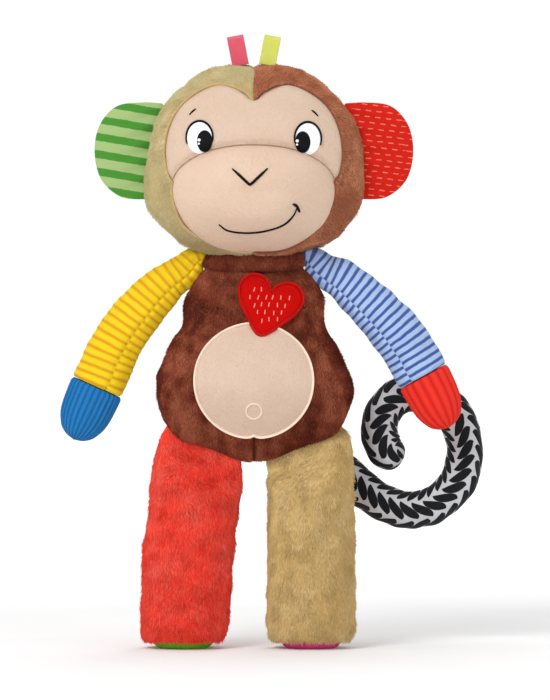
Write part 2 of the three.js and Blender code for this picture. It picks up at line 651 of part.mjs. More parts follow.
const headClear = headSkin(-LIMB_GAP);
[-1, 1].forEach((side) => {
  const [name, finish] = side < 0 ? ["green_ear", FINISH.greenStripe] : ["red_ear", FINISH.redDash];
  const earLoop = (grow) => {
    const root = HEAD_WIDTH / 2 - 14;
    const tip = HEAD_WIDTH / 2 + EAR_REACH + grow;
    const half = EAR_HEIGHT / 2 + grow;
    const points = [
      [root, -0.92],
      [mix(root, tip, 0.6), -0.97],
      [mix(root, tip, 0.9), -0.62],
      [tip, 0],
      [mix(root, tip, 0.92), 0.55],
      [mix(root, tip, 0.68), 0.96],
      [mix(root, tip, 0.3), 0.97],
      [root, 0.86],
    ].map(([x, z]) => new THREE.Vector3(side * x, EAR_LIFT + z * half, 0));
    const edge = new THREE.CatmullRomCurve3(points, false, "centripetal").getSpacedPoints(22);
    return edge.map((p) => new THREE.Vector2(p.x, p.y));
  };
  const outer = EAR_FILM / 2 + SEAM_GAP + EAR_FABRIC;
  const inner = EAR_FILM / 2 + SEAM_GAP;
  const slice = (grow, low, high) => prism(earLoop(grow), -HEAD_FORWARD + low, -HEAD_FORWARD + high, [0, HEAD_Z]).subtract(headClear);
  add(`${name}_front`, slice(0, -outer, -inner), finish);
  add(`${name}_crinkle_film`, slice(-2, -EAR_FILM / 2, EAR_FILM / 2), FINISH.film);
  add(`${name}_back`, slice(0, inner, outer), finish);
});

// ---------------------------------------------------------------- ribbon loops on the crown

[-1, 1].forEach((side) => {
  const [name, finish] = side < 0 ? ["pink_ribbon", FINISH.pinkSatin] : ["lime_ribbon", FINISH.limeSatin];
  const loopSide = (grow) => {
    const half = RIBBON_GAP / 2 + grow;
    const top = RIBBON_HEIGHT - RIBBON_THICKNESS - RIBBON_GAP / 2;
    const shape = new THREE.Shape();
    shape.moveTo(half, -grow);
    shape.lineTo(half, top);
    shape.absarc(0, top, half, 0, Math.PI, false);
    shape.lineTo(-half, -grow);
    shape.closePath();
    return shape;
  };
  const pull = (grow, width) => {
    const body = new THREE.ExtrudeGeometry(loopSide(grow), { depth: width, bevelEnabled: false, curveSegments: 6 });
    body.translate(0, 0, -width / 2);
    body.rotateX(Math.PI / 2);
    body.rotateZ(Math.PI / 2);
    body.rotateY((side * RIBBON_SPLAY * Math.PI) / 180);
    body.translate((side * RIBBON_SPACING) / 2, -HEAD_FORWARD, HEAD_Z + HEAD_HEIGHT / 2 + LIMB_GAP);
    return solidFrom(body);
  };
  const loop = pull(RIBBON_THICKNESS, RIBBON_WIDTH).subtract(pull(0, RIBBON_WIDTH + 2));
  add(`${name}_loop`, loop.subtract(headClear), finish);
});

// ---------------------------------------------------------------- neck seam

const neckLoop = ellipseLoop(NECK_SEAM_WIDTH / 2, NECK_SEAM_DEPTH / 2, 20);
const neckSeam = new THREE.ExtrudeGeometry(new THREE.Shape(neckLoop), { depth: NECK_SEAM_HEIGHT, bevelEnabled: false });
neckSeam.translate(0, 0, NECK_Z + SEAM_GAP);
add("neck_seam", solidFrom(neckSeam), FINISH.brownPlush);

// ---------------------------------------------------------------- legs

const LEG_RINGS = [
  [0, 0],
  [0, 0.5],
  [0, 0.86],
  [0.035, 0.97],
  [0.2, 1],
  [0.42, 0.985],
  [0.62, 0.97],
  [0.78, 0.985],
  [0.88, 0.99],
  [0.95, 0.97],
  [1, 0.93],
  [1, 0],
];
const legs = [
  { name: "red", side: -1, finish: FINISH.redPlush, soleName: "green_sole", sole: FINISH.greenSole, foot: 42.5, knee: 37, hip: 29.5 },
  { name: "beige", side: 1, finish: FINISH.beigePlush, soleName: "pink_sole", sole: FINISH.pinkSole, foot: 34.3, knee: 34.3, hip: 29.5 },
];

// Leg surface: rings from the hem to the slanting hip seam. Towards the seam the stuffing thins to a flat edge.
function legSkin(leg, inset) {
  const spine = new THREE.CatmullRomCurve3(
    [
      [leg.foot, 0],
      [leg.knee, 0.6],
      [leg.hip, 1],
    ].map(([x, t]) => new THREE.Vector3(leg.side * x, 0, t)),
  );
  return limb(LEG_RINGS.length, (ring, across, deep) => {
    const [t, fullness] = LEG_RINGS[ring];
    const last = ring === LEG_RINGS.length - 1;
    const centre = spine.getPoint(t).x;
    const halfWidth = Math.max(0, (LEG_WIDTH / 2 - inset) * (last ? 0 : fullness));
    const taper = mix(1, 0.07, smooth((t - 0.72) / 0.28));
    const halfDepth = Math.max(0, ((LEG_DEPTH / 2) * taper - inset) * (last ? 0 : fullness));
    const corner = Math.pow(Math.abs(across), 0.8) * Math.sign(across);
    const x = centre + halfWidth * corner;
    const top = CROTCH_Z + hemRise(x) - LIMB_GAP - inset;
    return new THREE.Vector3(x, halfDepth * deep, mix(HEM_Z, top, t));
  });
}

legs.forEach((leg) => {
  const outer = legSkin(leg, 0);
  const inner = legSkin(leg, COVER);
  // The bottom of the cover is open where the sole closes it.
  const mouth = limb(
    4,
    (ring, across, deep) => {
      const reach = ring === 0 || ring === 3 ? 0 : 1;
      const x = leg.side * leg.foot + reach * (SOLE_WIDTH / 2 + SEAM_GAP) * across;
      return new THREE.Vector3(x, reach * (SOLE_DEPTH / 2 + SEAM_GAP) * deep, ring < 2 ? HEM_Z - 1 : HEM_Z + COVER + 1);
    },
    24,
  );
  add(`${leg.name}_leg_cover`, outer.subtract(inner.intersect(block([-FAR, -FAR, HEM_Z + COVER], [FAR, FAR, FAR]))).subtract(mouth), leg.finish);
  const core = legSkin(leg, COVER + SEAM_GAP).intersect(block([-FAR, -FAR, HEM_Z + COVER + SEAM_GAP], [FAR, FAR, CROTCH_Z - 4]));
  add(`${leg.name}_leg_stuffing`, core, FINISH.stuffing);
  // The sole: a domed pad whose middle is pressed flat.
  const rings = [
    [0, 0],
    [SOLE_FLAT, 0],
    [0.93, 0.45],
    [1, 0.95],
    [1, 1],
    [0, 1],
  ];
  const soleTop = HEM_Z + COVER;
  const sole = limb(
    rings.length,
    (ring, across, deep) => {
      const [reach, up] = rings[ring];
      const x = leg.side * leg.foot + (SOLE_WIDTH / 2) * reach * across;
      return new THREE.Vector3(x, (SOLE_DEPTH / 2) * reach * deep, soleTop * up);
    },
    24,
  );
  add(leg.soleName, sole, leg.sole);
});

// ---------------------------------------------------------------- arms

const ARM_RINGS = [
  [0, 0],
  [0.012, 0.17],
  [0.06, 0.38],
  [0.14, 0.6],
  [0.27, 0.8],
  [0.44, 0.93],
  [0.62, 0.99],
  [0.76, 1.0],
  [0.87, 0.95],
  [0.95, HAND_TIP],
  [0.985, 0.42],
  [1, 0],
];
const arms = [
  { name: "yellow", side: -1, hand: "blue_hand", finish: FINISH.yellowJersey, cuff: FINISH.blueCord, out: 63, bow: 10, droop: 11 },
  { name: "striped", side: 1, hand: "red_hand", finish: FINISH.blueStripe, cuff: FINISH.redRib, out: 70, bow: 9, droop: 13 },
];

// The arm's centre line: out and down from the neck corner, bowed upwards, with the hand hanging lower.
function armSpine(arm) {
  const down = Math.sqrt(ARM_LENGTH * ARM_LENGTH - arm.out * arm.out);
  const wrist = [arm.out, -down];
  const along = new THREE.Vector2(...wrist).normalize();
  const up = new THREE.Vector2(-along.y, along.x);
  const at = (share, lift) => [along.x * ARM_LENGTH * share + up.x * lift, along.y * ARM_LENGTH * share + up.y * lift];
  const tip = at(1 + HAND_LENGTH / ARM_LENGTH, -arm.droop);
  const start = shoulderOf(arm);
  const lifts = [
    [0.11, 0.66],
    [0.24, 0.96],
    [0.5, 1.03],
    [0.75, 0.75],
  ];
  const points = [[0, 0], ...lifts.map(([share, lift]) => at(share, lift * arm.bow)), at(1, 0), tip];
  return new THREE.CatmullRomCurve3(
    points.map(([x, z]) => new THREE.Vector3(start.x + arm.side * x, ARM_PLANE * smooth(Math.hypot(x, z) / 40), start.z + z)),
  );
}

// The corner of the neck and shoulder, where an arm's point is stitched on.
// It stands clear of the torso where the bar's end passes as the arm swings.
function shoulderOf(arm) {
  const z = NECK_Z - SHOULDER_DROP;
  const bare = torsoHalfWidthAt(z - ARM_SEAM_LENGTH / 2);
  return new THREE.Vector3(arm.side * (bare + SEAM_RADIUS + SEAM_GAP), 0, z);
}

function armSkin(arm, inset) {
  const spine = armSpine(arm);
  const first = (SEAM_RADIUS + SEAM_GAP + inset) / spine.getLength();
  const span = 1 - first - inset / spine.getLength();
  return limb(ARM_RINGS.length, (ring, across, deep) => {
    const [t, fullness] = ARM_RINGS[ring];
    const at = spine.getPointAt(first + span * t);
    const along = spine.getTangentAt(first + span * t);
    const aside = new THREE.Vector3(along.z, 0, -along.x).normalize();
    const halfWidth = Math.max(0, (ARM_WIDTH / 2) * fullness - inset);
    const halfDepth = Math.max(0, (ARM_DEPTH / 2) * fullness - inset);
    const closed = fullness === 0 ? 0 : 1;
    return at.addScaledVector(aside, closed * halfWidth * across).add(new THREE.Vector3(0, closed * halfDepth * deep, 0));
  });
}

// A bar of stitches, lying along y or standing along z.
function seamBar(at, length, lying) {
  const bar = new THREE.CylinderGeometry(SEAM_RADIUS, SEAM_RADIUS, length, 10);
  if (!lying) bar.rotateX(Math.PI / 2);
  bar.translate(at.x, at.y, at.z);
  return solidFrom(bar);
}

// The space beyond the cuff (+1) or before it (-1), cut square to the arm.
function cuffSide(arm, side) {
  const spine = armSpine(arm);
  const share = 1 - HAND_LENGTH / spine.getLength();
  const at = spine.getPointAt(share);
  const along = spine.getTangentAt(share);
  const box = new THREE.BoxGeometry(FAR, FAR, FAR);
  box.translate(0, 0, side * (FAR / 2 + SEAM_GAP / 2));
  box.applyQuaternion(new THREE.Quaternion().setFromUnitVectors(new THREE.Vector3(0, 0, 1), along));
  box.translate(at.x, at.y, at.z);
  return solidFrom(box);
}

arms.forEach((arm) => {
  const shell = armSkin(arm, 0).subtract(armSkin(arm, COVER));
  add(`${arm.name}_arm_sleeve`, shell.intersect(cuffSide(arm, -1)), arm.finish);
  add(arm.hand, shell.intersect(cuffSide(arm, 1)), arm.cuff);
  add(`${arm.name}_arm_stuffing`, armSkin(arm, COVER + SEAM_GAP), FINISH.stuffing);
  add(`${arm.name}_arm_seam`, seamBar(shoulderOf(arm), ARM_SEAM_LENGTH, true), arm.finish);
});

// ---------------------------------------------------------------- tail

// The bar of stitches stands upright on the back of the seat, and the tail starts just behind it.
const TAIL_ROOT_Z = CROTCH_Z + TAIL_ROOT_ABOVE;
const seatBack = torsoSurfaceAt(TAIL_ROOT_X, TAIL_ROOT_Z + TAIL_SEAM_LENGTH / 2, 1);
const tailSeamY = seatBack + SEAM_GAP + SEAM_RADIUS;
const tailStartY = tailSeamY + SEAM_RADIUS + SEAM_GAP;

// It passes behind the leg and curls up beside it into a spiral. Heights are from the root.
const tailCurl = [
  [40, 0, -17],
  [56, 0, -30],
  [74, -1, -45],
  [92, -3, -52],
  [108, -4, -49],
  [122, -5, -37],
  [128, -5, -19],
  [125, -5, -1],
  [115, -5, 14],
  [100, -5, 20],
  [86, -5, 16],
  [77, -5, 5],
  [76, -5, -7],
  [81, -5, -16],
  [91, -5, -20],
].map(([x, y, z]) => new THREE.Vector3(x, TAIL_Y + 4 + y, TAIL_ROOT_Z + z));
const tailRoot = [
  new THREE.Vector3(TAIL_ROOT_X, tailStartY, TAIL_ROOT_Z),
  new THREE.Vector3(TAIL_ROOT_X + 2, mix(tailStartY, TAIL_Y + 4, 0.55), TAIL_ROOT_Z - 1),
  new THREE.Vector3(TAIL_ROOT_X + 13, TAIL_Y + 3, TAIL_ROOT_Z - 7),
];
const tailSpine = new THREE.CatmullRomCurve3([...tailRoot, ...tailCurl], false, "centripetal");
const TAIL_LENGTH = tailSpine.getLength();
const TAIL_STEPS = 40;
const TAIL_FIRST_RING = 0.6;

function tailSkin(inset) {
  return limb(
    TAIL_STEPS + 1,
    (ring, across, deep) => {
      const even = ring === 1 ? TAIL_FIRST_RING / TAIL_LENGTH : ring / TAIL_STEPS;
      const t = Math.min(even, 1 - inset / TAIL_LENGTH);
      const at = tailSpine.getPointAt(t);
      const along = tailSpine.getTangentAt(t);
      const aside = new THREE.Vector3(along.z, 0, -along.x).normalize();
      const deepwards = new THREE.Vector3().crossVectors(along, aside).normalize();
      const toTip = Math.min(1, ((1 - t) * TAIL_LENGTH) / (TAIL_DIAMETER / 2));
      const domed = Math.sqrt(toTip * (2 - toTip));
      const swell = mix(TAIL_ROOT_SHARE, 1, smooth((t * TAIL_LENGTH) / TAIL_TAPER));
      const ended = ring === 0 || ring === TAIL_STEPS ? 0 : 1;
      const radius = ended * Math.max(0.05, (TAIL_DIAMETER / 2) * domed * swell - inset);
      return at.addScaledVector(aside, radius * across).addScaledVector(deepwards, radius * deep);
    },
    10,
  );
}

// Everything behind a distance from the tail's first ring. Its cover is cut open there to be stuffed.
const behindRoot = (distance) => block([-FAR, tailStartY + distance, -FAR], [FAR, FAR, FAR]);
add("tail_cover", tailSkin(0).subtract(tailSkin(COVER)).intersect(behindRoot(SEAM_GAP)), FINISH.leafPrint);
add("tail_stuffing", tailSkin(COVER + SEAM_GAP).intersect(behindRoot(TAIL_TAPER / 2)), FINISH.stuffing);
add("tail_seam", seamBar(new THREE.Vector3(TAIL_ROOT_X, tailSeamY, TAIL_ROOT_Z), TAIL_SEAM_LENGTH, false), FINISH.leafPrint);

// ---------------------------------------------------------------- the whole toy on its origin

const bounds = new THREE.Box3().setFromObject(monkey);
const middle = bounds.getCenter(new THREE.Vector3());
monkey.position.set(-middle.x, -middle.y, -bounds.min.z);
const part = new THREE.Group();
part.add(monkey);

export default part;
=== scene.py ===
"""A stuffed activity monkey: plush head, body and legs, two arms, crinkle ears and a leaf-print tail.

Shapes are worked out in millimetres with the toy's middle line at x = 0, its middle plane at y = 0 and the
floor at z = 0, and are moved into the frame by one offset that is read from the neck seam.
"""

import logging
import math
from dataclasses import dataclass, field
from enum import Enum
from typing import Callable, Optional, Sequence

import bmesh
import bpy
import numpy as np
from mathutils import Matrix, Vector


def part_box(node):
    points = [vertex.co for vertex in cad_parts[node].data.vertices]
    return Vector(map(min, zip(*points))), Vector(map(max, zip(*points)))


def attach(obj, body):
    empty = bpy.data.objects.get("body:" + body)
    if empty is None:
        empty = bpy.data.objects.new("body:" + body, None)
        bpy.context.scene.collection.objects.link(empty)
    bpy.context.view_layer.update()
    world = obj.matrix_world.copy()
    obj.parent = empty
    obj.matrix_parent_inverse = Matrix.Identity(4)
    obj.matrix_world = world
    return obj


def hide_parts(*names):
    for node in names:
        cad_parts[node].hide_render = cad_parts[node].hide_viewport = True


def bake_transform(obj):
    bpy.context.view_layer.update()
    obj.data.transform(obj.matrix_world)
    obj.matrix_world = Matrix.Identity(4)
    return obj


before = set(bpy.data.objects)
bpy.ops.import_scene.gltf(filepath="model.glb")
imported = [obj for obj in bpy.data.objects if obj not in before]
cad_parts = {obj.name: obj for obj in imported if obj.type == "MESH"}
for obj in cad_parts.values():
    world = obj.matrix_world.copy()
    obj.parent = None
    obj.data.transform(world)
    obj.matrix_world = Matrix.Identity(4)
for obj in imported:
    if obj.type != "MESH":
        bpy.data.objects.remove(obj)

LOG = logging.getLogger("monkey")
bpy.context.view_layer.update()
Array = np.ndarray

MM = 0.001
PLUSH_WALL = 1.6  # thickness of the body's and the head's covers
ARM_GIRTH = 88.75  # cloth round a sleeve
TAIL_GIRTH = 70.7  # cloth round the tail
CROTCH_Z = 112.0
NECK_Z = 233.0
HIP_X = 51.77
HIP_RISE = 23.0
TORSO_Z = 166.45
HEAD_Z = 292.5
SHOULDER_Z = 230.0
PATCH_Z = 161.0
HEART_AT = (8.2, 205.0)
NECK_ROLL_Z = 232.5
ROOT_SINK = 0.35  # how deep a tuft is rooted
LOWEST_TIP = 1.3  # how near the floor a tuft may reach


# ---------------------------------------------------------------- numbers and curves


def frame_offset() -> Array:
    """Millimetres from the toy's own middle line to the frame, read from the neck seam's box."""
    low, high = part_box("neck_seam")
    return np.array([(low.x + high.x) / 2, (low.y + high.y) / 2, 0.0]) / MM


OFFSET = frame_offset()


def linear(colour: str) -> tuple[float, float, float, float]:
    """An sRGB hex colour as the linear red, green, blue and alpha that a shader takes."""
    parts = [int(colour[i : i + 2], 16) / 255 for i in (1, 3, 5)]
    red, green, blue = (c / 12.92 if c <= 0.04045 else ((c + 0.055) / 1.055) ** 2.4 for c in parts)
    return (red, green, blue, 1.0)


def smooth(value: Array) -> Array:
    """An ease from 0 to 1: 3v^2 - 2v^3 of the value held between 0 and 1."""
    held = np.clip(value, 0.0, 1.0)
    return held * held * (3 - 2 * held)


def mix(low: Array, high: Array, share: Array) -> Array:
    """The value that lies a share of the way from low to high."""
    return low + (high - low) * share


def unit(vectors: Array) -> Array:
    """Vectors along the last axis brought to length one."""
    return vectors / np.maximum(np.linalg.norm(vectors, axis=-1, keepdims=True), 1e-9)


def walk(points: Array) -> Array:
    """The distance along a chain of points to each of them."""
    return np.concatenate([[0], np.cumsum(np.linalg.norm(np.diff(points, axis=0), axis=1))])


def chord_root(start: Array, end: Array) -> Array:
    """The square root of the distance between matching points."""
    return np.sqrt(np.maximum(np.linalg.norm(end - start, axis=1, keepdims=True), 1e-6))


def curve(points: Sequence[Sequence[float]], count: int, closed: bool = False) -> Array:
    """A smooth curve through points, cut at equal lengths.

    Each span is a cubic whose end slopes weigh the neighbouring chords by the square roots of their lengths.

    Args:
        points: The points passed through, in order.
        count: How many points come back.
        closed: Whether the curve returns to its start.

    Returns:
        The count points, the last one at the end (or just before the start, when closed).
    """
    given = np.asarray(points, float)
    if closed:
        index = np.arange(len(given))
        p0, p1, p2, p3 = (given[(index + shift) % len(given)] for shift in (-1, 0, 1, 2))
    else:
        longer = np.vstack([2 * given[0] - given[1], given, 2 * given[-1] - given[-2]])
        index = np.arange(len(given) - 1)
        p0, p1, p2, p3 = (longer[index + shift] for shift in (0, 1, 2, 3))
    d0, d1, d2 = chord_root(p0, p1), chord_root(p1, p2), chord_root(p2, p3)
    slope1 = (d1 * ((p1 - p0) / d0 - (p2 - p0) / (d0 + d1) + (p2 - p1) / d1))[:, None, :]
    slope2 = (d1 * ((p2 - p1) / d1 - (p3 - p1) / (d1 + d2) + (p3 - p2) / d2))[:, None, :]
    t = np.linspace(0, 1, 32, endpoint=False)[None, :, None]
    start, end = p1[:, None, :], p2[:, None, :]
    dense = (
        (2 * t**3 - 3 * t**2 + 1) * start
        + (t**3 - 2 * t**2 + t) * slope1
        + (3 * t**2 - 2 * t**3) * end
        + (t**3 - t**2) * slope2
    ).reshape(-1, given.shape[1])
    dense = np.vstack([dense, given[0] if closed else given[-1]])
    walked = walk(dense)
    wanted = np.linspace(0, walked[-1], count, endpoint=not closed)
    return np.stack([np.interp(wanted, walked, column) for column in dense.T], -1)


def length_of(points: Array) -> float:
    """The length of a chain of points."""
    return float(np.linalg.norm(np.diff(points, axis=0), axis=1).sum())


def ripple(points: Array, wave: float, seed: int, waves: int = 10) -> Array:
    """Smooth seeded noise of about -1 to 1: a sum of plane waves in random directions, near one wavelength.

    Args:
        points: Places in millimetres, x, y, z along the last axis.
        wave: The typical wavelength in millimetres.
        seed: What picks the directions.
        waves: How many waves are added.

    Returns:
        One number for each place.
    """
    rng = np.random.default_rng(seed)
    way = unit(rng.normal(size=(waves, 3))) * (2 * math.pi / (wave * rng.uniform(0.7, 1.5, (waves, 1))))
    phase = rng.uniform(0, 2 * math.pi, waves)
    return np.sin(points @ way.T + phase).sum(-1) / math.sqrt(waves * 0.9)


class Outline:
    """A closed outline in the front view that every ray from its middle meets once."""

    def __init__(self, points: Array) -> None:
        """Keeps the outline as a radius for each angle; points are x and z from the middle."""
        angles = np.arctan2(points[:, 1], points[:, 0])
        order = np.argsort(angles)
        self.angles = angles[order]
        self.reach = np.hypot(points[:, 0], points[:, 1])[order]

    def radius(self, angle: Array) -> Array:
        """How far the outline stands from its middle at each angle."""
        return np.interp(angle, self.angles, self.reach, period=2 * math.pi)

    @classmethod
    def of_half(cls, half: Sequence[Sequence[float]], middle: tuple[float, float] = (0.0, 0.0)) -> "Outline":
        """An outline the same on both sides, from its right half listed bottom to top.

        Args:
            half: Points x and z of the right half, the first and last on the middle line.
            middle: The place the radii are measured from.

        Returns:
            The outline.
        """
        right = np.asarray(half, float)
        left = right[-2:0:-1] * (-1, 1)
        return cls(curve(np.vstack([right, left]), 900, closed=True) - np.asarray(middle))


@dataclass(frozen=True)
class Pillow:
    """A stuffed form: an outline in the front view, and depths ahead and behind that swell like half circles."""

    outline: Outline
    centre: tuple[float, float, float]
    front: Callable[[Array], Array]
    back: Callable[[Array], Array]
    relief: Callable[[Array, Array], Array]

    def at(self, angle: Array, rise: Array) -> Array:
        """Points of the skin: reach is radius * cos(rise), and depth goes with sin(rise), + ahead and - behind.

        Args:
            angle: The direction in the front view.
            rise: From pi/2 at the front's middle, by 0 at the side seam, to -pi/2 at the back's middle.

        Returns:
            Places in millimetres.
        """
        reach = self.outline.radius(angle) * np.cos(rise)
        x, z = reach * np.cos(angle), reach * np.sin(angle)
        height = np.sin(rise)
        depth = np.where(height > 0, self.front(z), self.back(z))
        swell = np.where(height > 0, self.relief(x, z) * np.minimum(1, 2 * height), 0)
        cx, cy, cz = self.centre
        return np.stack([cx + x, cy - depth * height - swell, cz + z], -1)

    def front_y(self, x: Array, z: Array) -> Array:
        """The y of the skin ahead, over x and z: depth * sqrt(1 - (reach / radius)^2), and the relief."""
        across, up = x - self.centre[0], z - self.centre[2]
        share = np.minimum(np.hypot(across, up) / self.outline.radius(np.arctan2(up, across)), 0.999)
        height = np.sqrt(1 - share**2)
        return self.centre[1] - self.front(up) * height - self.relief(across, up) * np.minimum(1, 2 * height)


# ---------------------------------------------------------------- meshes from arrays


def to_frame(points: Array) -> Array:
    """Millimetres of the toy as metres of the frame."""
    return (points + OFFSET) * MM


def new_object(name: str, mesh: bpy.types.Mesh) -> bpy.types.Object:
    """An object at the origin that shows a mesh."""
    made = bpy.data.objects.new(name, mesh)
    bpy.context.scene.collection.objects.link(made)
    return made


def grid_faces(rows: int, columns: int) -> Array:
    """The corner numbers of every quad of a grid of points."""
    corner = np.arange(rows * columns).reshape(rows, columns)
    return np.stack([corner[:-1, :-1], corner[:-1, 1:], corner[1:, 1:], corner[1:, :-1]], -1).reshape(-1, 4)


def surface(name: str, points: Array, uv: Array, inside: Optional[Array] = None) -> bpy.types.Object:
    """A mesh from a grid of points, with seams and poles closed and faces outwards.

    Args:
        name: The piece's name.
        points: The grid, rows by columns by x, y, z in millimetres.
        uv: Cloth coordinates in millimetres for the same grid.
        inside: A point that an open surface turns its back on; None for a closed one.

    Returns:
        The object, smooth shaded, with the UV map "cloth".
    """
    rows, columns = points.shape[:2]
    flat = to_frame(points.reshape(-1, 3))
    faces = grid_faces(rows, columns)
    mesh = bpy.data.meshes.new(name)
    mesh.from_pydata(flat.tolist(), [], faces.tolist())
    layer = mesh.uv_layers.new(name="cloth")
    layer.data.foreach_set("uv", uv.reshape(-1, 2)[faces.reshape(-1)].astype(np.float32).reshape(-1))
    work = bmesh.new()
    work.from_mesh(mesh)
    bmesh.ops.remove_doubles(work, verts=work.verts, dist=2e-6)
    bmesh.ops.dissolve_degenerate(work, edges=work.edges, dist=1e-7)
    bmesh.ops.recalc_face_normals(work, faces=work.faces)
    if inside is not None:
        away = Vector(to_frame(np.asarray(inside, float)))
        facing = sum(f.normal.dot(f.calc_center_median() - away) * f.calc_area() for f in work.faces)
        if facing < 0:
            bmesh.ops.reverse_faces(work, faces=work.faces)
    elif work.calc_volume(signed=True) < 0:
        bmesh.ops.reverse_faces(work, faces=work.faces)
    work.to_mesh(mesh)
    work.free()
    mesh.shade_smooth()
    return new_object(name, mesh)


def thicken(piece: bpy.types.Object, thickness: float) -> bpy.types.Object:
    """Gives an open surface a wall of that many millimetres, inwards from its face."""
    wall = piece.modifiers.new("wall", "SOLIDIFY")
    wall.thickness = thickness * MM
    wall.offset = -1
    bake_modifiers(piece)
    return piece


def bake_modifiers(piece: bpy.types.Object) -> None:
    """Writes a piece's modifiers into its mesh."""
    evaluated = piece.evaluated_get(bpy.context.evaluated_depsgraph_get())
    mesh = bpy.data.meshes.new_from_object(evaluated)
    piece.modifiers.clear()
    piece.data = mesh


def join(name: str, pieces: Sequence[bpy.types.Object]) -> bpy.types.Object:
    """Makes one mesh of several pieces that are at the origin, and removes them.

    Args:
        name: The new piece's name.
        pieces: The pieces, with the same materials.

    Returns:
        The joined piece.
    """
    work = bmesh.new()
    for piece in pieces:
        work.from_mesh(piece.data)
    mesh = bpy.data.meshes.new(name)
    work.to_mesh(mesh)
    work.free()
    mesh.shade_smooth()
    for piece in pieces:
        bpy.data.objects.remove(piece)
    return new_object(name, mesh)


def lens(
    name: str,
    outline: Outline,
    middle: tuple[float, float],
    top: Callable[[Array, Array, Array], Array],
    bottom: Callable[[Array, Array, Array], Array],
    rings: int = 26,
    around: int = 120,
) -> bpy.types.Object:
    """A closed flat piece in the front view: its face from the middle to the outline, then its back inwards.

    Args:
        name: The piece's name.
        outline: The outline about the middle.
        middle: x and z of the middle.
        top: The y of the face over x, z and the share of the reach.
        bottom: The y of the back over the same.
        rings: Rings from the middle to the outline.
        around: Points on a ring.

    Returns:
        The piece, with cloth coordinates that are x and z from the middle.
    """
    share = np.sin(np.linspace(0, math.pi / 2, rings))[:, None]
    angle = np.linspace(0, 2 * math.pi, around + 1)[None, :]
    reach = outline.radius(angle) * share
    across, up = reach * np.cos(angle), reach * np.sin(angle)
    x, z = middle[0] + across, middle[1] + up
    face = np.stack([x, top(x, z, share + 0 * angle), z], -1)
    behind = np.stack([x, bottom(x, z, share + 0 * angle), z], -1)[::-1]
    points = np.concatenate([face, behind])
    uv = np.concatenate([np.stack([across, up], -1), np.stack([across, up], -1)[::-1]])
    return surface(name, points, uv)


def bead(
    name: str,
    path: Array,
    normal: Array,
    width: Array,
    height: Array,
    ridges: float = 0.0,
    sides: int = 10,
    closed: bool = False,
) -> bpy.types.Object:
    """A raised line: an oval of the given width and height carried along a path, and drawn to points.

    Each point is path + side * cos(a) * width / 2 + normal * sin(a) * height, and satin stitching makes the
    height rise and fall along the path.

    Args:
        name: The piece's name.
        path: The line, in millimetres.
        normal: The way up from the cloth at each point.
        width: The full width along the path.
        height: The height along the path.
        ridges: The pitch of the stitches in millimetres, or 0 for none.
        sides: Points round the oval.
        closed: Whether the line is a ring, whose first and last points are the same.

    Returns:
        The line, as a closed mesh.
    """
    along = unit(np.gradient(path, axis=0))
    side = unit(np.cross(along, normal))
    walked = walk(path)
    turn = np.linspace(0, 2 * math.pi, sides + 1)[None, :, None]
    stitch = 1 + (0.16 * np.abs(np.sin(math.pi * walked / ridges)) if ridges else 0 * walked)
    half = (np.broadcast_to(width, walked.shape) / 2)[:, None, None]
    lift = (np.broadcast_to(height, walked.shape) * stitch)[:, None, None]
    if closed:
        along[[0, -1]] = unit(path[1] - path[-2])
        side = unit(np.cross(along, normal))
    ends = np.ones(len(path))
    ends[[0, -1]] = 1.0 if closed else 0.0
    ends = ends[:, None, None]
    points = path[:, None, :] + ends * (
        side[:, None, :] * half * np.cos(turn) + normal[:, None, :] * lift * np.sin(turn)
    )
    uv = np.stack(np.broadcast_arrays(walked[:, None], turn[..., 0] * half[..., 0]), -1)
    return surface(name, points, uv)


def tube(
    path: Array,
    side: Array,
    up: Array,
    half_side: Array,
    half_up: Array,
    around: int,
    first: float,
    girth: float,
) -> tuple[Array, Array]:
    """The grid of a stuffed tube: path + side * half_side * cos(a) + up * half_up * sin(a).

    Args:
        path: The middle line, in millimetres.
        side: The way of the first half axis at each point.
        up: The way of the second half axis.
        half_side: Half the width at each point.
        half_up: Half the depth at each point.
        around: Points round the tube.
        first: The angle that the lengthwise seam is at.
        girth: The cloth's millimetres round the tube.

    Returns:
        The grid of points, and its cloth coordinates: millimetres round and along.
    """
    turn = first + np.linspace(0, 2 * math.pi, around + 1)
    across = side[:, None, :] * half_side[:, None, None] * np.cos(turn)[None, :, None]
    raised = up[:, None, :] * half_up[:, None, None] * np.sin(turn)[None, :, None]
    walked = walk(path)
    uv = np.stack(np.broadcast_arrays((turn - first)[None, :] / (2 * math.pi) * girth, walked[:, None]), -1)
    return path[:, None, :] + across + raised, uv


def grid_normals(points: Array, inside: Array) -> Array:
    """The outward direction at each point of a grid: the cross product of its slopes, turned from the inside.

    Args:
        points: The grid.
        inside: A point, or one for each grid point, that lies inside the surface.

    Returns:
        Unit vectors for the same grid.
    """
    normal = unit(np.cross(np.gradient(points, axis=0), np.gradient(points, axis=1)))
    outwards = ((points - inside) * normal).sum(-1, keepdims=True)
    return np.where(outwards < 0, -normal, normal)


# ---------------------------------------------------------------- pile


@dataclass(frozen=True)
class Tuft:
    """The size and lie of the fibres of a plush, in millimetres."""

    length: float
    width: float
    lift: float  # how steeply a tuft stands up from its cloth, as a share of its lean
    clump: float  # how far neighbouring tips draw together
    clump_size: float
    loose: float  # how much single tufts stray
    patch: float = 0.35  # how much whole patches darken or pale, against the single tufts


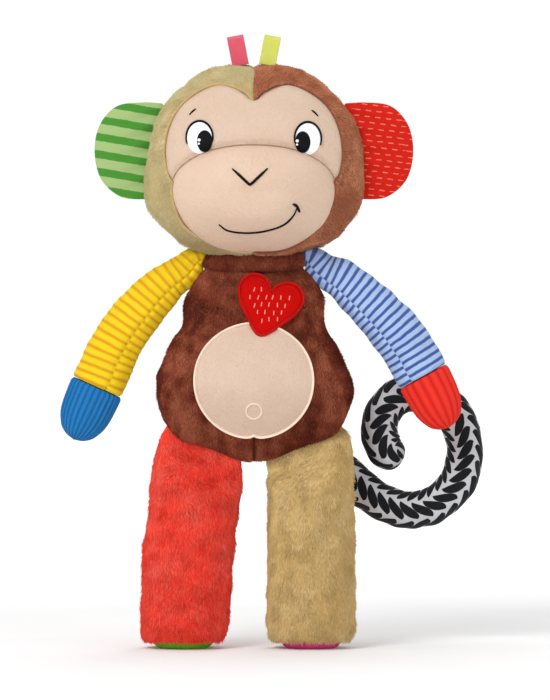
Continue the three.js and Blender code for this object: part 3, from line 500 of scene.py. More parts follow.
def tuft_corners(root: Array, side: Array, normal: Array, way: Array, size: Array, tuft: Tuft) -> Array:
    """The corners of many tufts: a triangle at the root and a tip.

    The root corners are root -/+ side * width / 2 and root + normal * 0.4 width, the first two
    sunk by ROOT_SINK, and the tip is root + way * length.

    Args:
        root: Where each tuft grows.
        side: Across the tuft.
        normal: Out of the cloth.
        way: The way it grows.
        size: Each tuft's size against the usual.
        tuft: The usual size.

    Returns:
        Tufts by corners by x, y, z.
    """
    half = (tuft.width / 2) * size[:, None]
    ridge = (tuft.width * 0.4) * size[:, None]
    reach = tuft.length * size[:, None]
    sunk = root - normal * ROOT_SINK
    low = [sunk - side * half, sunk + side * half, sunk + normal * (ridge + ROOT_SINK)]
    return np.stack([*low, root + way * reach], 1)


TUFT_FACES = np.array([(0, 1, 2), (0, 3, 1), (1, 3, 2), (2, 3, 0)])


def pile(
    name: str,
    points: Array,
    normals: Array,
    nap: Array,
    count: int,
    tuft: Tuft,
    shades: Sequence[bpy.types.Material],
    seed: int,
    keep: Optional[Callable[[Array], Array]] = None,
) -> bpy.types.Object:
    """The fibres of a plush, scattered evenly over a grid and combed along its nap.

    Roots are picked by area and placed by mixing a cell's corners. A tuft grows along nap + lift * normal +
    clump * noise, so that neighbours lean together. Its shade follows patches of 30 and 10 mm, and chance.

    Args:
        name: The piece's name.
        points: The grid of the cloth.
        normals: Out of the cloth, for the same grid.
        nap: The combed way, for the same grid.
        count: How many tufts are tried.
        tuft: Their size.
        shades: Materials from dark to pale.
        seed: What places them.
        keep: Says which roots stay; None for all.

    Returns:
        One mesh of all the tufts.
    """
    rng = np.random.default_rng(seed)
    area = np.linalg.norm(
        np.cross(points[1:, :-1] - points[:-1, :-1], points[:-1, 1:] - points[:-1, :-1]), axis=-1
    ).reshape(-1)
    cell = rng.choice(len(area), size=count, p=area / area.sum())
    row, column = np.divmod(cell, points.shape[1] - 1)
    s, t = rng.random((2, count, 1))

    def placed(grid: Array) -> Array:
        """A grid's value at each root."""
        near = mix(grid[row, column], grid[row, column + 1], t)
        far = mix(grid[row + 1, column], grid[row + 1, column + 1], t)
        return mix(near, far, s)

    root, normal, combed = placed(points), unit(placed(normals)), placed(nap)
    if keep is not None:
        held = keep(root)
        root, normal, combed = root[held], normal[held], combed[held]
    stray = np.stack([ripple(root, tuft.clump_size, seed + k) for k in (1, 2, 3)], -1)
    loose = rng.normal(scale=tuft.loose, size=root.shape)
    way = unit(unit(combed) + normal * tuft.lift + stray * tuft.clump + loose)
    low = (way * normal).sum(-1, keepdims=True)
    way = unit(way + normal * np.maximum(0, 0.14 - low))
    side = unit(np.cross(way, normal))
    size = rng.uniform(0.7, 1.15, len(root))
    corners = tuft_corners(root, side, normal, way, size, tuft)
    faces = TUFT_FACES
    each = corners.shape[1]
    a, b, c = (corners[:, faces[:, k]] for k in range(3))
    if ((a - corners.mean(1)[:, None]) * np.cross(b - a, c - a)).sum() < 0:
        faces = faces[:, ::-1]
    every = (faces[None] + (np.arange(len(root)) * each)[:, None, None]).reshape(-1, 3)
    corners[..., 2] = np.maximum(corners[..., 2], LOWEST_TIP)
    mesh = bpy.data.meshes.new(name)
    mesh.from_pydata(to_frame(corners.reshape(-1, 3)).tolist(), [], every.tolist())
    patch = (ripple(root, 30, seed + 7) + ripple(root, 10, seed + 9) * 0.6) * tuft.patch
    lock = patch + rng.normal(scale=0.38, size=len(root))
    rank = np.clip(((lock + 1.1) / 2.2 * len(shades)).astype(int), 0, len(shades) - 1)
    for shade in shades:
        mesh.materials.append(shade)
    mesh.polygons.foreach_set("material_index", np.repeat(rank, len(faces)).astype(np.int32))
    mesh.shade_smooth()
    mesh.normals_split_custom_set_from_vertices(np.repeat(normal, each, axis=0).tolist())
    return new_object(name, mesh)


# ---------------------------------------------------------------- finishes


def add_node(
    tree: bpy.types.NodeTree, kind: str, sockets: Optional[dict] = None, **settings: object
) -> bpy.types.Node:
    """Adds a node to a material.

    Args:
        tree: The material's nodes.
        kind: The node's type name.
        sockets: For each input, by name or number, an output to link to it or a value to set.
        **settings: The node's own properties.

    Returns:
        The new node.
    """
    made = tree.nodes.new(kind)
    for key, value in settings.items():
        setattr(made, key, value)
    for socket, value in (sockets or {}).items():
        if isinstance(value, bpy.types.NodeSocket):
            tree.links.new(value, made.inputs[socket])
        else:
            made.inputs[socket].default_value = value
    return made


def calc(tree: bpy.types.NodeTree, operation: str, *values: object) -> bpy.types.NodeSocket:
    """One step of arithmetic in a material; each value is a number or an output."""
    return add_node(tree, "ShaderNodeMath", dict(enumerate(values)), operation=operation).outputs[0]


def product(tree: bpy.types.NodeTree, first: object, second: object) -> bpy.types.NodeSocket:
    """Two numbers or outputs multiplied."""
    return calc(tree, "MULTIPLY", first, second)


def total(tree: bpy.types.NodeTree, first: object, second: object) -> bpy.types.NodeSocket:
    """Two numbers or outputs added."""
    return calc(tree, "ADD", first, second)


def from_middle(tree: bpy.types.NodeTree, value: object, pitch: float) -> bpy.types.NodeSocket:
    """How far a value is past the middle of its repeat, in repeats: -0.5 to 0.5, once every pitch."""
    return calc(tree, "SUBTRACT", calc(tree, "FRACT", calc(tree, "DIVIDE", value, pitch)), 0.5)


def waves(tree: bpy.types.NodeTree, value: object, pitch: float) -> bpy.types.NodeSocket:
    """Rounded ridges from 0 to 1, one every pitch: |sin(pi * value / pitch)|."""
    return calc(tree, "ABSOLUTE", calc(tree, "SINE", product(tree, value, math.pi / pitch)))


def blend_colours(
    tree: bpy.types.NodeTree, share: object, low: object, high: object
) -> bpy.types.NodeSocket:
    """A colour between two; low and high are hex colours or outputs, and share goes from 0 to 1."""
    colours = [linear(c) if isinstance(c, str) else c for c in (low, high)]
    made = add_node(tree, "ShaderNodeMix", {0: share, 6: colours[0], 7: colours[1]}, data_type="RGBA")
    return made.outputs[2]


@dataclass
class Shader:
    """A material in the making: its nodes, its surface shader and the places a pattern is read from."""

    name: str
    roughness: float
    sheen: float = 0.0
    sheen_roughness: float = 0.5
    ior: float = 1.5
    specular: float = 0.5
    tint: str = "#ffffff"

    def __post_init__(self) -> None:
        """Makes the material with its surface shader, whose fixed values are set on its own sockets."""
        self.material = bpy.data.materials.new(self.name)
        self.material.use_nodes = True
        self.tree = self.material.node_tree
        self.surface = self.tree.nodes["Principled BSDF"]
        fixed = {
            "Roughness": self.roughness,
            "Sheen Weight": self.sheen,
            "Sheen Roughness": self.sheen_roughness,
            "IOR": self.ior,
            "Specular IOR Level": self.specular,
            "Sheen Tint": linear(self.tint),
        }
        for socket, value in fixed.items():
            self.surface.inputs[socket].default_value = value

    def place(self) -> bpy.types.NodeSocket:
        """Object coordinates, in metres of the frame."""
        return add_node(self.tree, "ShaderNodeTexCoord").outputs["Object"]

    def cloth(self) -> tuple[bpy.types.NodeSocket, bpy.types.NodeSocket]:
        """The cloth's own two coordinates, in millimetres."""
        uv = add_node(self.tree, "ShaderNodeUVMap", uv_map="cloth").outputs[0]
        split = add_node(self.tree, "ShaderNodeSeparateXYZ", {0: uv})
        return split.outputs[0], split.outputs[1]

    def noise(
        self, size: float, detail: float = 2.0, stretch: tuple[float, float, float] = (1, 1, 1)
    ) -> bpy.types.NodeSocket:
        """Noise whose blotches are about size millimetres, on Object coordinates.

        Args:
            size: The size of a blotch in millimetres.
            detail: How much finer noise is added.
            stretch: How much finer it is along each axis.

        Returns:
            The noise, from 0 to 1.
        """
        moved = add_node(self.tree, "ShaderNodeMapping", {0: self.place(), 3: stretch})
        wave = {"Vector": moved.outputs[0], "Scale": 1 / (size * MM), "Detail": detail}
        return add_node(self.tree, "ShaderNodeTexNoise", wave).outputs[0]

    def colour(self, value: object) -> None:
        """Sends a hex colour or an output to the surface's colour."""
        if isinstance(value, str):
            self.surface.inputs["Base Color"].default_value = linear(value)
        else:
            self.tree.links.new(value, self.surface.inputs["Base Color"])

    def relief(self, height: bpy.types.NodeSocket, depth: float, strength: float = 1.0) -> None:
        """Turns a height from 0 to 1 into bumps of that many millimetres.

        Args:
            height: The height.
            depth: The millimetres between its 0 and its 1.
            strength: How much of it shows.
        """
        made = add_node(
            self.tree, "ShaderNodeBump", {"Height": height, "Distance": depth * MM, "Strength": strength}
        )
        self.tree.links.new(made.outputs[0], self.surface.inputs["Normal"])


@dataclass(frozen=True)
class PlushBacking:
    """Knitted polyester plush under its pile: matt, mottled where the nap turns, and painted darker than the pile
    as the shade that falls between the tufts.
    """

    name: str
    # deep and body are painted shade, darker than the pile, for the backing seen between the tufts
    deep: str
    body: str
    pale: str

    def make(self) -> bpy.types.Material:
        """The material: 14 mm nap patches over 1.2 mm fibre noise, stretched down the nap."""
        s = Shader(self.name, roughness=0.93, sheen=0.3, sheen_roughness=0.6, specular=0.1, tint=self.pale)
        patches = s.noise(14, 3)
        fibres = s.noise(1.2, 2, (1.6, 1.6, 0.6))
        # Painted shade between the tufts: the backing goes from deep to body in 14 mm patches, darker than its
        # pile.
        low = blend_colours(s.tree, patches, self.deep, self.body)
        s.colour(blend_colours(s.tree, product(s.tree, fibres, 0.7), low, self.pale))
        s.relief(fibres, 0.7)
        return s.material


@dataclass(frozen=True)
class PileShades:
    """Polyester pile fibres: soft, matt and pale at their edges, in a few dye shades from dark to pale."""

    name: str
    colours: tuple[str, ...]
    sheen: float = 0.4

    def make(self) -> list[bpy.types.Material]:
        """One plain material for each shade; the mixture of the tufts is what makes the pattern."""
        made = []
        for number, colour in enumerate(self.colours):
            s = Shader(f"{self.name}_{number + 1}", 0.85, self.sheen, 0.45, specular=0.12, tint=colour)
            s.colour(colour)
            made.append(s.material)
        return made


@dataclass(frozen=True)
class Velour:
    """Short cut velour knit: a soft flat nap with faint clouds and a pale edge where it turns away."""

    name: str
    body: str
    warm: str
    fuzz: float = 0.9

    def make(self) -> bpy.types.Material:
        """The material: 22 mm clouds and 1.1 mm fuzz; real fuzz is finer, drawn coarser so that it shows."""
        s = Shader(self.name, roughness=0.9, sheen=0.3, sheen_roughness=0.5, specular=0.1, tint=self.body)
        clouds = s.noise(22, 3)
        fuzz = s.noise(1.1, 3, (1.3, 1.3, 0.7))
        share = total(s.tree, product(s.tree, clouds, 0.9), product(s.tree, fuzz, 1.1))
        share = calc(s.tree, "SUBTRACT", share, 0.5)
        s.colour(blend_colours(s.tree, share, self.warm, self.body))
        s.relief(fuzz, self.fuzz)
        return s.material


class Print(Enum):
    """The patterns of the printed and knitted cloths."""

    GREEN_STRIPES = "slanting green stripes on the ear"
    PALE_DASHES = "short pale dashes on the ear"
    LEAVES = "pairs of slanting leaves on the tail"
    PLAIN = "no print"


@dataclass(frozen=True)
class PrintedCotton:
    """Plain-woven cotton, piece-printed: matt, with a fine thread grid whose gaps hold painted shade, and edges
    that bleed a little.
    """

    name: str
    ground: str
    ink: str
    pattern: Print
    weave: float = 0.55  # thread spacing; real thread is about 0.3 mm, drawn coarser so that it shows

    def ink_share(self, s: Shader) -> object:
        """How much ink each place takes, from 0 to 1."""
        u, v = s.cloth()
        t = s.tree
        wander = product(t, calc(t, "SUBTRACT", s.noise(3, 2), 0.5), 0.9)
        if self.pattern is Print.GREEN_STRIPES:
            slant = total(t, total(t, v, product(t, u, 0.17)), wander)
            phase = calc(t, "ABSOLUTE", from_middle(t, slant, 10.4))
            return edge(t, phase, 0.225, 0.012)
        if self.pattern is Print.PALE_DASHES:
            row = calc(t, "FLOOR", calc(t, "DIVIDE", v, 3.6))
            shifted = total(t, u, product(t, calc(t, "SINE", product(t, row, 2.3)), 3.1))
            du = calc(t, "ABSOLUTE", from_middle(t, shifted, 6.4))
            tilt = total(t, total(t, v, product(t, u, 0.12)), wander)
            dv = calc(t, "ABSOLUTE", from_middle(t, tilt, 3.6))
            return product(t, edge(t, du, 0.25, 0.03), edge(t, dv, 0.085, 0.03))
        return self.leaf_share(s, u, v)

    def leaf_share(self, s: Shader, u: object, v: object) -> object:
        """The leaves: six rows 11.8 mm wide, a leaf every 8 mm, slanting up in one row and down in the next.

        A leaf fills |v'| < 4.1 * (1 - |2.06u'|^2.3), where u' is the place across its row and v' is measured
        along a slanting, slightly bowed line.
        """
        t = s.tree
        rows = calc(t, "DIVIDE", u, TAIL_GIRTH / 6)
        row = calc(t, "FLOOR", rows)
        across = calc(t, "SUBTRACT", calc(t, "FRACT", rows), 0.5)
        odd = calc(t, "MODULO", row, 2.0)
        sign = calc(t, "SUBTRACT", product(t, odd, 2.0), 1.0)
        slope = product(t, product(t, across, sign), 11.0)
        bow = product(t, product(t, across, across), 3.0)
        line = total(t, total(t, v, slope), bow)
        line = total(t, line, product(t, odd, 3.1))
        cell = product(t, from_middle(t, line, 8.0), 8.0)
        narrow = calc(t, "SUBTRACT", 1.0, calc(t, "POWER", calc(t, "ABSOLUTE", product(t, across, 2.06)), 2.3))
        width = product(t, calc(t, "MAXIMUM", narrow, 0.0), 4.1)
        inside = calc(t, "SUBTRACT", width, calc(t, "ABSOLUTE", cell))
        return calc(t, "SMOOTH_MIN", calc(t, "MAXIMUM", product(t, inside, 5.0), 0.0), 1.0, 0.1)

    def make(self) -> bpy.types.Material:
        """The material."""
        s = Shader(self.name, roughness=0.8, sheen=0.1, sheen_roughness=0.5, specular=0.2, tint=self.ground)
        u, v = s.cloth()
        t = s.tree
        threads = product(t, waves(t, u, self.weave), waves(t, v, self.weave))
        worn = s.noise(9, 3)
        # Painted shade between the threads: the ground darkens towards dark brown in the weave's gaps, and also
        # in 9 mm worn patches.
        shade = total(t, product(t, threads, 0.16), product(t, worn, 0.2))
        dark = blend_colours(t, 0.22, self.ground, "#30281f")
        ground = blend_colours(t, calc(t, "SUBTRACT", 1.0, calc(t, "SUBTRACT", 0.3, shade)), dark, self.ground)
        if self.pattern is Print.PLAIN:
            s.colour(ground)
        else:
            s.colour(blend_colours(t, self.ink_share(s), ground, self.ink))
        s.relief(threads, 0.12, 0.6)
        return s.material


def edge(tree: bpy.types.NodeTree, value: object, limit: float, blur: float) -> bpy.types.NodeSocket:
    """1 where the value is below the limit and 0 above it, with a soft step of the blur's width."""
    made = add_node(
        tree, "ShaderNodeMapRange", {0: value, 1: limit - blur, 2: limit + blur, 3: 1.0, 4: 0.0}, clamp=True
    )
    return made.outputs[0]


@dataclass(frozen=True)
class RibbedJersey:
    """Cotton jersey knitted with soft cross ribs: rounded bands, with the darker yarn in the furrows."""

    name: str
    ridge: str
    furrow: str
    pitch: float
    share: float  # how much of the pitch the furrow's colour takes
    blur: float

    def make(self) -> bpy.types.Material:
        """The material: bands every pitch along the cloth, knit loops every 0.8 mm, and soft worn patches."""
        s = Shader(self.name, roughness=0.87, sheen=0.2, sheen_roughness=0.5, specular=0.15, tint=self.ridge)
        t = s.tree
        u, v = s.cloth()
        wander = product(t, calc(t, "SUBTRACT", s.noise(7, 2), 0.5), 1.0)
        slant = product(t, u, self.pitch / 2 / ARM_GIRTH)
        line = total(t, total(t, v, wander), slant)
        band = calc(t, "ABSOLUTE", from_middle(t, line, self.pitch))
        inside = edge(t, band, self.share / 2, self.blur)
        loops = waves(t, u, 0.8)
        worn = s.noise(11, 3)
        pale = blend_colours(t, product(t, worn, 0.3), self.ridge, self.furrow)
        s.colour(blend_colours(t, inside, pale, self.furrow))
        height = total(t, product(t, calc(t, "SUBTRACT", 1.0, inside), 0.8), product(t, loops, 0.2))
        s.relief(height, 0.35, 0.8)
        return s.material


@dataclass(frozen=True)
class Corduroy:
    """Cut-pile corduroy: parallel fuzzy cords, with a painted highlight on their tops and painted shade between
    them.
    """

    name: str
    top: str
    valley_shade: str
    pitch: float

    def make(self) -> bpy.types.Material:
        """The material: cords every pitch round the cloth, with 1 mm fuzz on them."""
        s = Shader(self.name, roughness=0.9, sheen=0.3, sheen_roughness=0.45, specular=0.1, tint=self.top)
        t = s.tree
        u, _ = s.cloth()
        fuzz = s.noise(1.0, 3)
        cord = waves(t, u, self.pitch)
        share = product(t, total(t, product(t, cord, 0.75), product(t, fuzz, 0.4)), 0.9)
        # Painted light: the top colour is a highlight on each cord and the valley colour is shade between the
        # cords.
        s.colour(blend_colours(t, share, self.valley_shade, self.top))
        s.relief(total(t, cord, product(t, fuzz, 0.5)), 0.4)
        return s.material


@dataclass(frozen=True)
class SatinThread:
    """Rayon embroidery thread in satin stitch: fine parallel strands, their silky gloss painted as a paler colour
    on their crowns.
    """

    name: str
    body: str
    # lit is the painted highlight on the strands' crowns
    lit: str
    pitch: float = 0.6  # strand spacing; real thread is about 0.4 mm

    def make(self) -> bpy.types.Material:
        """The material: strands across the line, with painted shade in their grooves and a painted highlight, the
        lit colour, on their crowns in 4 mm clouds.
        """
        s = Shader(self.name, roughness=0.55, specular=0.1)
        t = s.tree
        u, _ = s.cloth()
        strand = waves(t, u, self.pitch)
        cloud = s.noise(4, 2)
        # Painted highlight: the lit colour on the strands' crowns, patchy by the cloud; painted shade in the
        # grooves.
        s.colour(blend_colours(t, product(t, product(t, strand, cloud), 1.3), self.body, self.lit))
        s.relief(strand, 0.1, 0.8)
        return s.material


@dataclass(frozen=True)
class SatinRibbon:
    """Woven polyester satin ribbon: a glossy face with fine warp lines and a tighter selvedge."""

    name: str
    body: str
    # lit is the painted satin highlight
    lit: str
    width: float

    def make(self) -> bpy.types.Material:
        """The material: warp lines every 0.35 mm, a ridge 0.7 mm in from each edge, and a painted satin
        highlight, the lit colour, in 5 mm clouds.
        """
        s = Shader(self.name, roughness=0.32, sheen=0.15, specular=0.5)
        t = s.tree
        u, _ = s.cloth()
        warp = waves(t, u, 0.35)
        rim = edge(t, calc(t, "SUBTRACT", self.width / 2, calc(t, "ABSOLUTE", u)), 0.8, 0.2)
        cloud = s.noise(5, 2)
        # Painted highlight: the lit colour spread over the ribbon in 5 mm clouds and along the warp lines.
        share = total(t, product(t, warp, 0.15), product(t, cloud, 0.5))
        s.colour(blend_colours(t, share, self.body, self.lit))
        s.relief(total(t, product(t, warp, 0.3), rim), 0.15, 0.6)
        return s.material


@dataclass(frozen=True)
class Moulded:
    """Injection-moulded plastic or fibrefill inside the toy: an even colour with a faint surface grain."""

    name: str
    body: str
    shade: str
    roughness: float
    grain: float

    def make(self) -> bpy.types.Material:
        """The material: two close shades mixed by a grain of the given size."""
        s = Shader(self.name, roughness=self.roughness)
        grain = s.noise(self.grain, 3)
        s.colour(blend_colours(s.tree, grain, self.shade, self.body))
        s.relief(grain, 0.05, 0.5)
        return s.material


class Cloths:
    """Every finish of the toy, made once."""

    def __init__(self) -> None:
        """Makes the materials."""
        # Each backing's colours are darker than its pile: painted shade between the tufts.
        self.beige = PlushBacking("polyester_plush_beige_knitted", "#9b7b4c", "#c0a169", "#d9bf8c").make()
        self.brown = PlushBacking("polyester_plush_brown_knitted", "#613426", "#834a39", "#9c614b").make()
        self.body_brown = PlushBacking(
            "polyester_plush_chestnut_knitted", "#57291d", "#76392a", "#8c4a36"
        ).make()
        self.red = PlushBacking("polyester_plush_red_knitted", "#c71c18", "#f12d22", "#ff503c").make()
        self.tan = PlushBacking("polyester_plush_tan_knitted", "#a17c45", "#c4a060", "#dcbe82").make()
        self.face = Velour("polyester_velour_flesh_knitted", "#d4bdab", "#cbae97").make()
        self.muzzle = Velour("polyester_velour_pale_flesh_knitted", "#dbc2ae", "#d2b39c").make()
        self.belly = Velour("polyester_velour_belly_knitted", "#d8c1b0", "#ccaf99").make()
        self.beige_pile = PileShades(
            "beige_pile_cut", ("#b59f6d", "#bfac7a", "#c6b685", "#cdbe8f", "#d6c99f")
        ).make()
        self.brown_pile = PileShades(
            "brown_pile_cut", ("#9e5a3d", "#ab6747", "#b87352", "#c6825f", "#d4916c")
        ).make()
        self.body_pile = PileShades(
            "chestnut_pile_cut", ("#572116", "#6b2e1c", "#803c27", "#954c35", "#a86045")
        ).make()
        self.red_pile = PileShades(
            "red_pile_long", ("#fe2f23", "#ff3e2f", "#ff503f", "#ff6250", "#ff7a67")
        ).make()
        self.tan_pile = PileShades(
            "tan_pile_long", ("#caa663", "#d4b270", "#ddbc7d", "#e6c68d", "#f0d3a0")
        ).make()
        self.green_ear = PrintedCotton(
            "cotton_green_stripe_printed", "#9ab474", "#42862b", Print.GREEN_STRIPES
        ).make()
        self.red_ear = PrintedCotton(
            "cotton_red_dash_printed", "#c51508", "#db7451", Print.PALE_DASHES
        ).make()
        self.leaves = PrintedCotton("cotton_leaf_printed", "#c4c5c9", "#0f1115", Print.LEAVES).make()
        self.green_sole = PrintedCotton("cotton_green_woven", "#5fb52c", "#5fb52c", Print.PLAIN).make()
        self.pink_sole = PrintedCotton("cotton_pink_woven", "#de3f8e", "#de3f8e", Print.PLAIN).make()
        self.yellow = RibbedJersey(
            "cotton_jersey_yellow_ribbed", "#e4c820", "#ce9114", 5.0, 0.34, 0.12
        ).make()
        self.blue_stripe = RibbedJersey(
            "cotton_jersey_blue_striped", "#a7c1e4", "#435495", 4.55, 0.4, 0.05
        ).make()
        # Each corduroy's first colour is a painted highlight on its cords and its second is painted shade between
        # them.
        self.cord_blue = Corduroy("cotton_corduroy_blue_cut", "#2979b5", "#084888", 3.3).make()
        self.hand_red = Corduroy("cotton_jersey_red_ribbed", "#e7392d", "#be1710", 5.2).make()
        self.heart = Velour("polyester_velour_red_knitted", "#c60602", "#ae0402", 0.3).make()
        # The paler colour of each thread is a painted highlight on its strands' crowns.
        self.heart_rim = SatinThread("rayon_thread_dark_red_satin_stitched", "#a50805", "#d01b14").make()
        self.heart_dash = SatinThread("cotton_thread_rose_run_stitched", "#e27e6e", "#eda192").make()
        self.cream = SatinThread("cotton_thread_cream_satin_stitched", "#e6cfba", "#f5e2d0", 0.9).make()
        self.dart = SatinThread("polyester_thread_dark_brown_lock_stitched", "#35140c", "#54261a").make()
        # The tan thread of the line in the crease above the muzzle: painted shade, where the muzzle is sewn to
        # the face.
        self.seam = SatinThread("tan_thread_painted_crease_shade", "#9a7c63", "#b59479").make()
        self.black = SatinThread("rayon_thread_black_satin_stitched", "#020203", "#131318").make()
        self.white = SatinThread("rayon_thread_white_satin_stitched", "#eef1f6", "#ffffff").make()
        # The paler colour of each ribbon is a painted satin highlight.
        self.pink_ribbon = SatinRibbon("polyester_satin_pink_woven", "#c22a46", "#d86273", 10).make()
        self.lime_ribbon = SatinRibbon("polyester_satin_lime_woven", "#b3bb26", "#d5d774", 10).make()
        self.fill = Moulded("polyester_fibrefill_carded", "#f4f2ec", "#dcd9d0", 0.95, 3).make()
        self.white_plastic = Moulded("polypropylene_white_moulded", "#eceae4", "#dad8d2", 0.45, 1.5).make()
        self.bead_plastic = Moulded("polystyrene_bead_moulded", "#e0482f", "#c93a24", 0.3, 1.5).make()


# ---------------------------------------------------------------- dressing and riding


def dress(piece: bpy.types.Object, material: bpy.types.Material) -> bpy.types.Object:
    """Gives a piece one material."""
    piece.data.materials.clear()
    piece.data.materials.append(material)
    return piece


def describe(
    replaced: Sequence[str]
) -> None:
    """Hides the CAD nodes that a finished piece stands for.

    Args:
        replaced: The CAD nodes it stands for.
    """
    if replaced:
        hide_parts(*replaced)


def settle(
    piece: bpy.types.Object, body: str, replaced: Sequence[str] = ()
) -> bpy.types.Object:
    """Makes a finished piece ride on a body, and hides the CAD nodes it stands for.

    Args:
        piece: The piece.
        body: The body it rides on.
        replaced: The CAD nodes it stands for.

    Returns:
        The piece.
    """
    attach(piece, body)
    describe(replaced)
    LOG.info("%s rides on %s, %d faces", piece.name, body, len(piece.data.polygons))
    return piece


def bend(
    piece: bpy.types.Object,
    bodies: tuple[str, str],
    replaced: Sequence[str] = (),
) -> bpy.types.Object:
    """Bakes a finished piece's place into its mesh, and hides the CAD nodes it stands for.

    Args:
        piece: The piece, which has no parent.
        bodies: The two bodies it lies between; they are only named in the log.
        replaced: The CAD nodes it stands for.

    Returns:
        The piece.
    """
    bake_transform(piece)
    describe(replaced)
    LOG.info("%s bends between %s and %s, %d faces", piece.name, *bodies, len(piece.data.polygons))
    return piece


# ---------------------------------------------------------------- body


def swung(vector: Sequence[float], normals: Array) -> Array:
    """One direction laid flat on a surface: the vector less its share along each normal."""
    way = np.broadcast_to(np.asarray(vector, float), normals.shape)
    return unit(way - normals * (way * normals).sum(-1, keepdims=True) + 1e-6)


def ellipse(width: float, height: float) -> Outline:
    """An oval outline of that full width and height."""
    turn = np.linspace(0, 2 * math.pi, 720, endpoint=False)
    return Outline(np.stack([width / 2 * np.cos(turn), height / 2 * np.sin(turn)], -1))


def on_skin(path: Array, skin: Callable[[Array, Array], Array], lift: float) -> tuple[Array, Array]:
    """A line in the front view laid on a skin.

    Args:
        path: x and z along the line.
        skin: The y of the skin over x and z.
        lift: How far ahead of the skin it lies.

    Returns:
        The line in space, and the way out of the skin at each point, from its slopes half a millimetre away.
    """
    x, z = path[:, 0], path[:, 1]
    y = skin(x, z)
    slope_x = skin(x + 0.5, z) - skin(x - 0.5, z)
    slope_z = skin(x, z + 0.5) - skin(x, z - 0.5)
    out = unit(np.stack([slope_x, -np.ones_like(y), slope_z], -1))
    return np.stack([x, y, z], -1) + out * lift, out


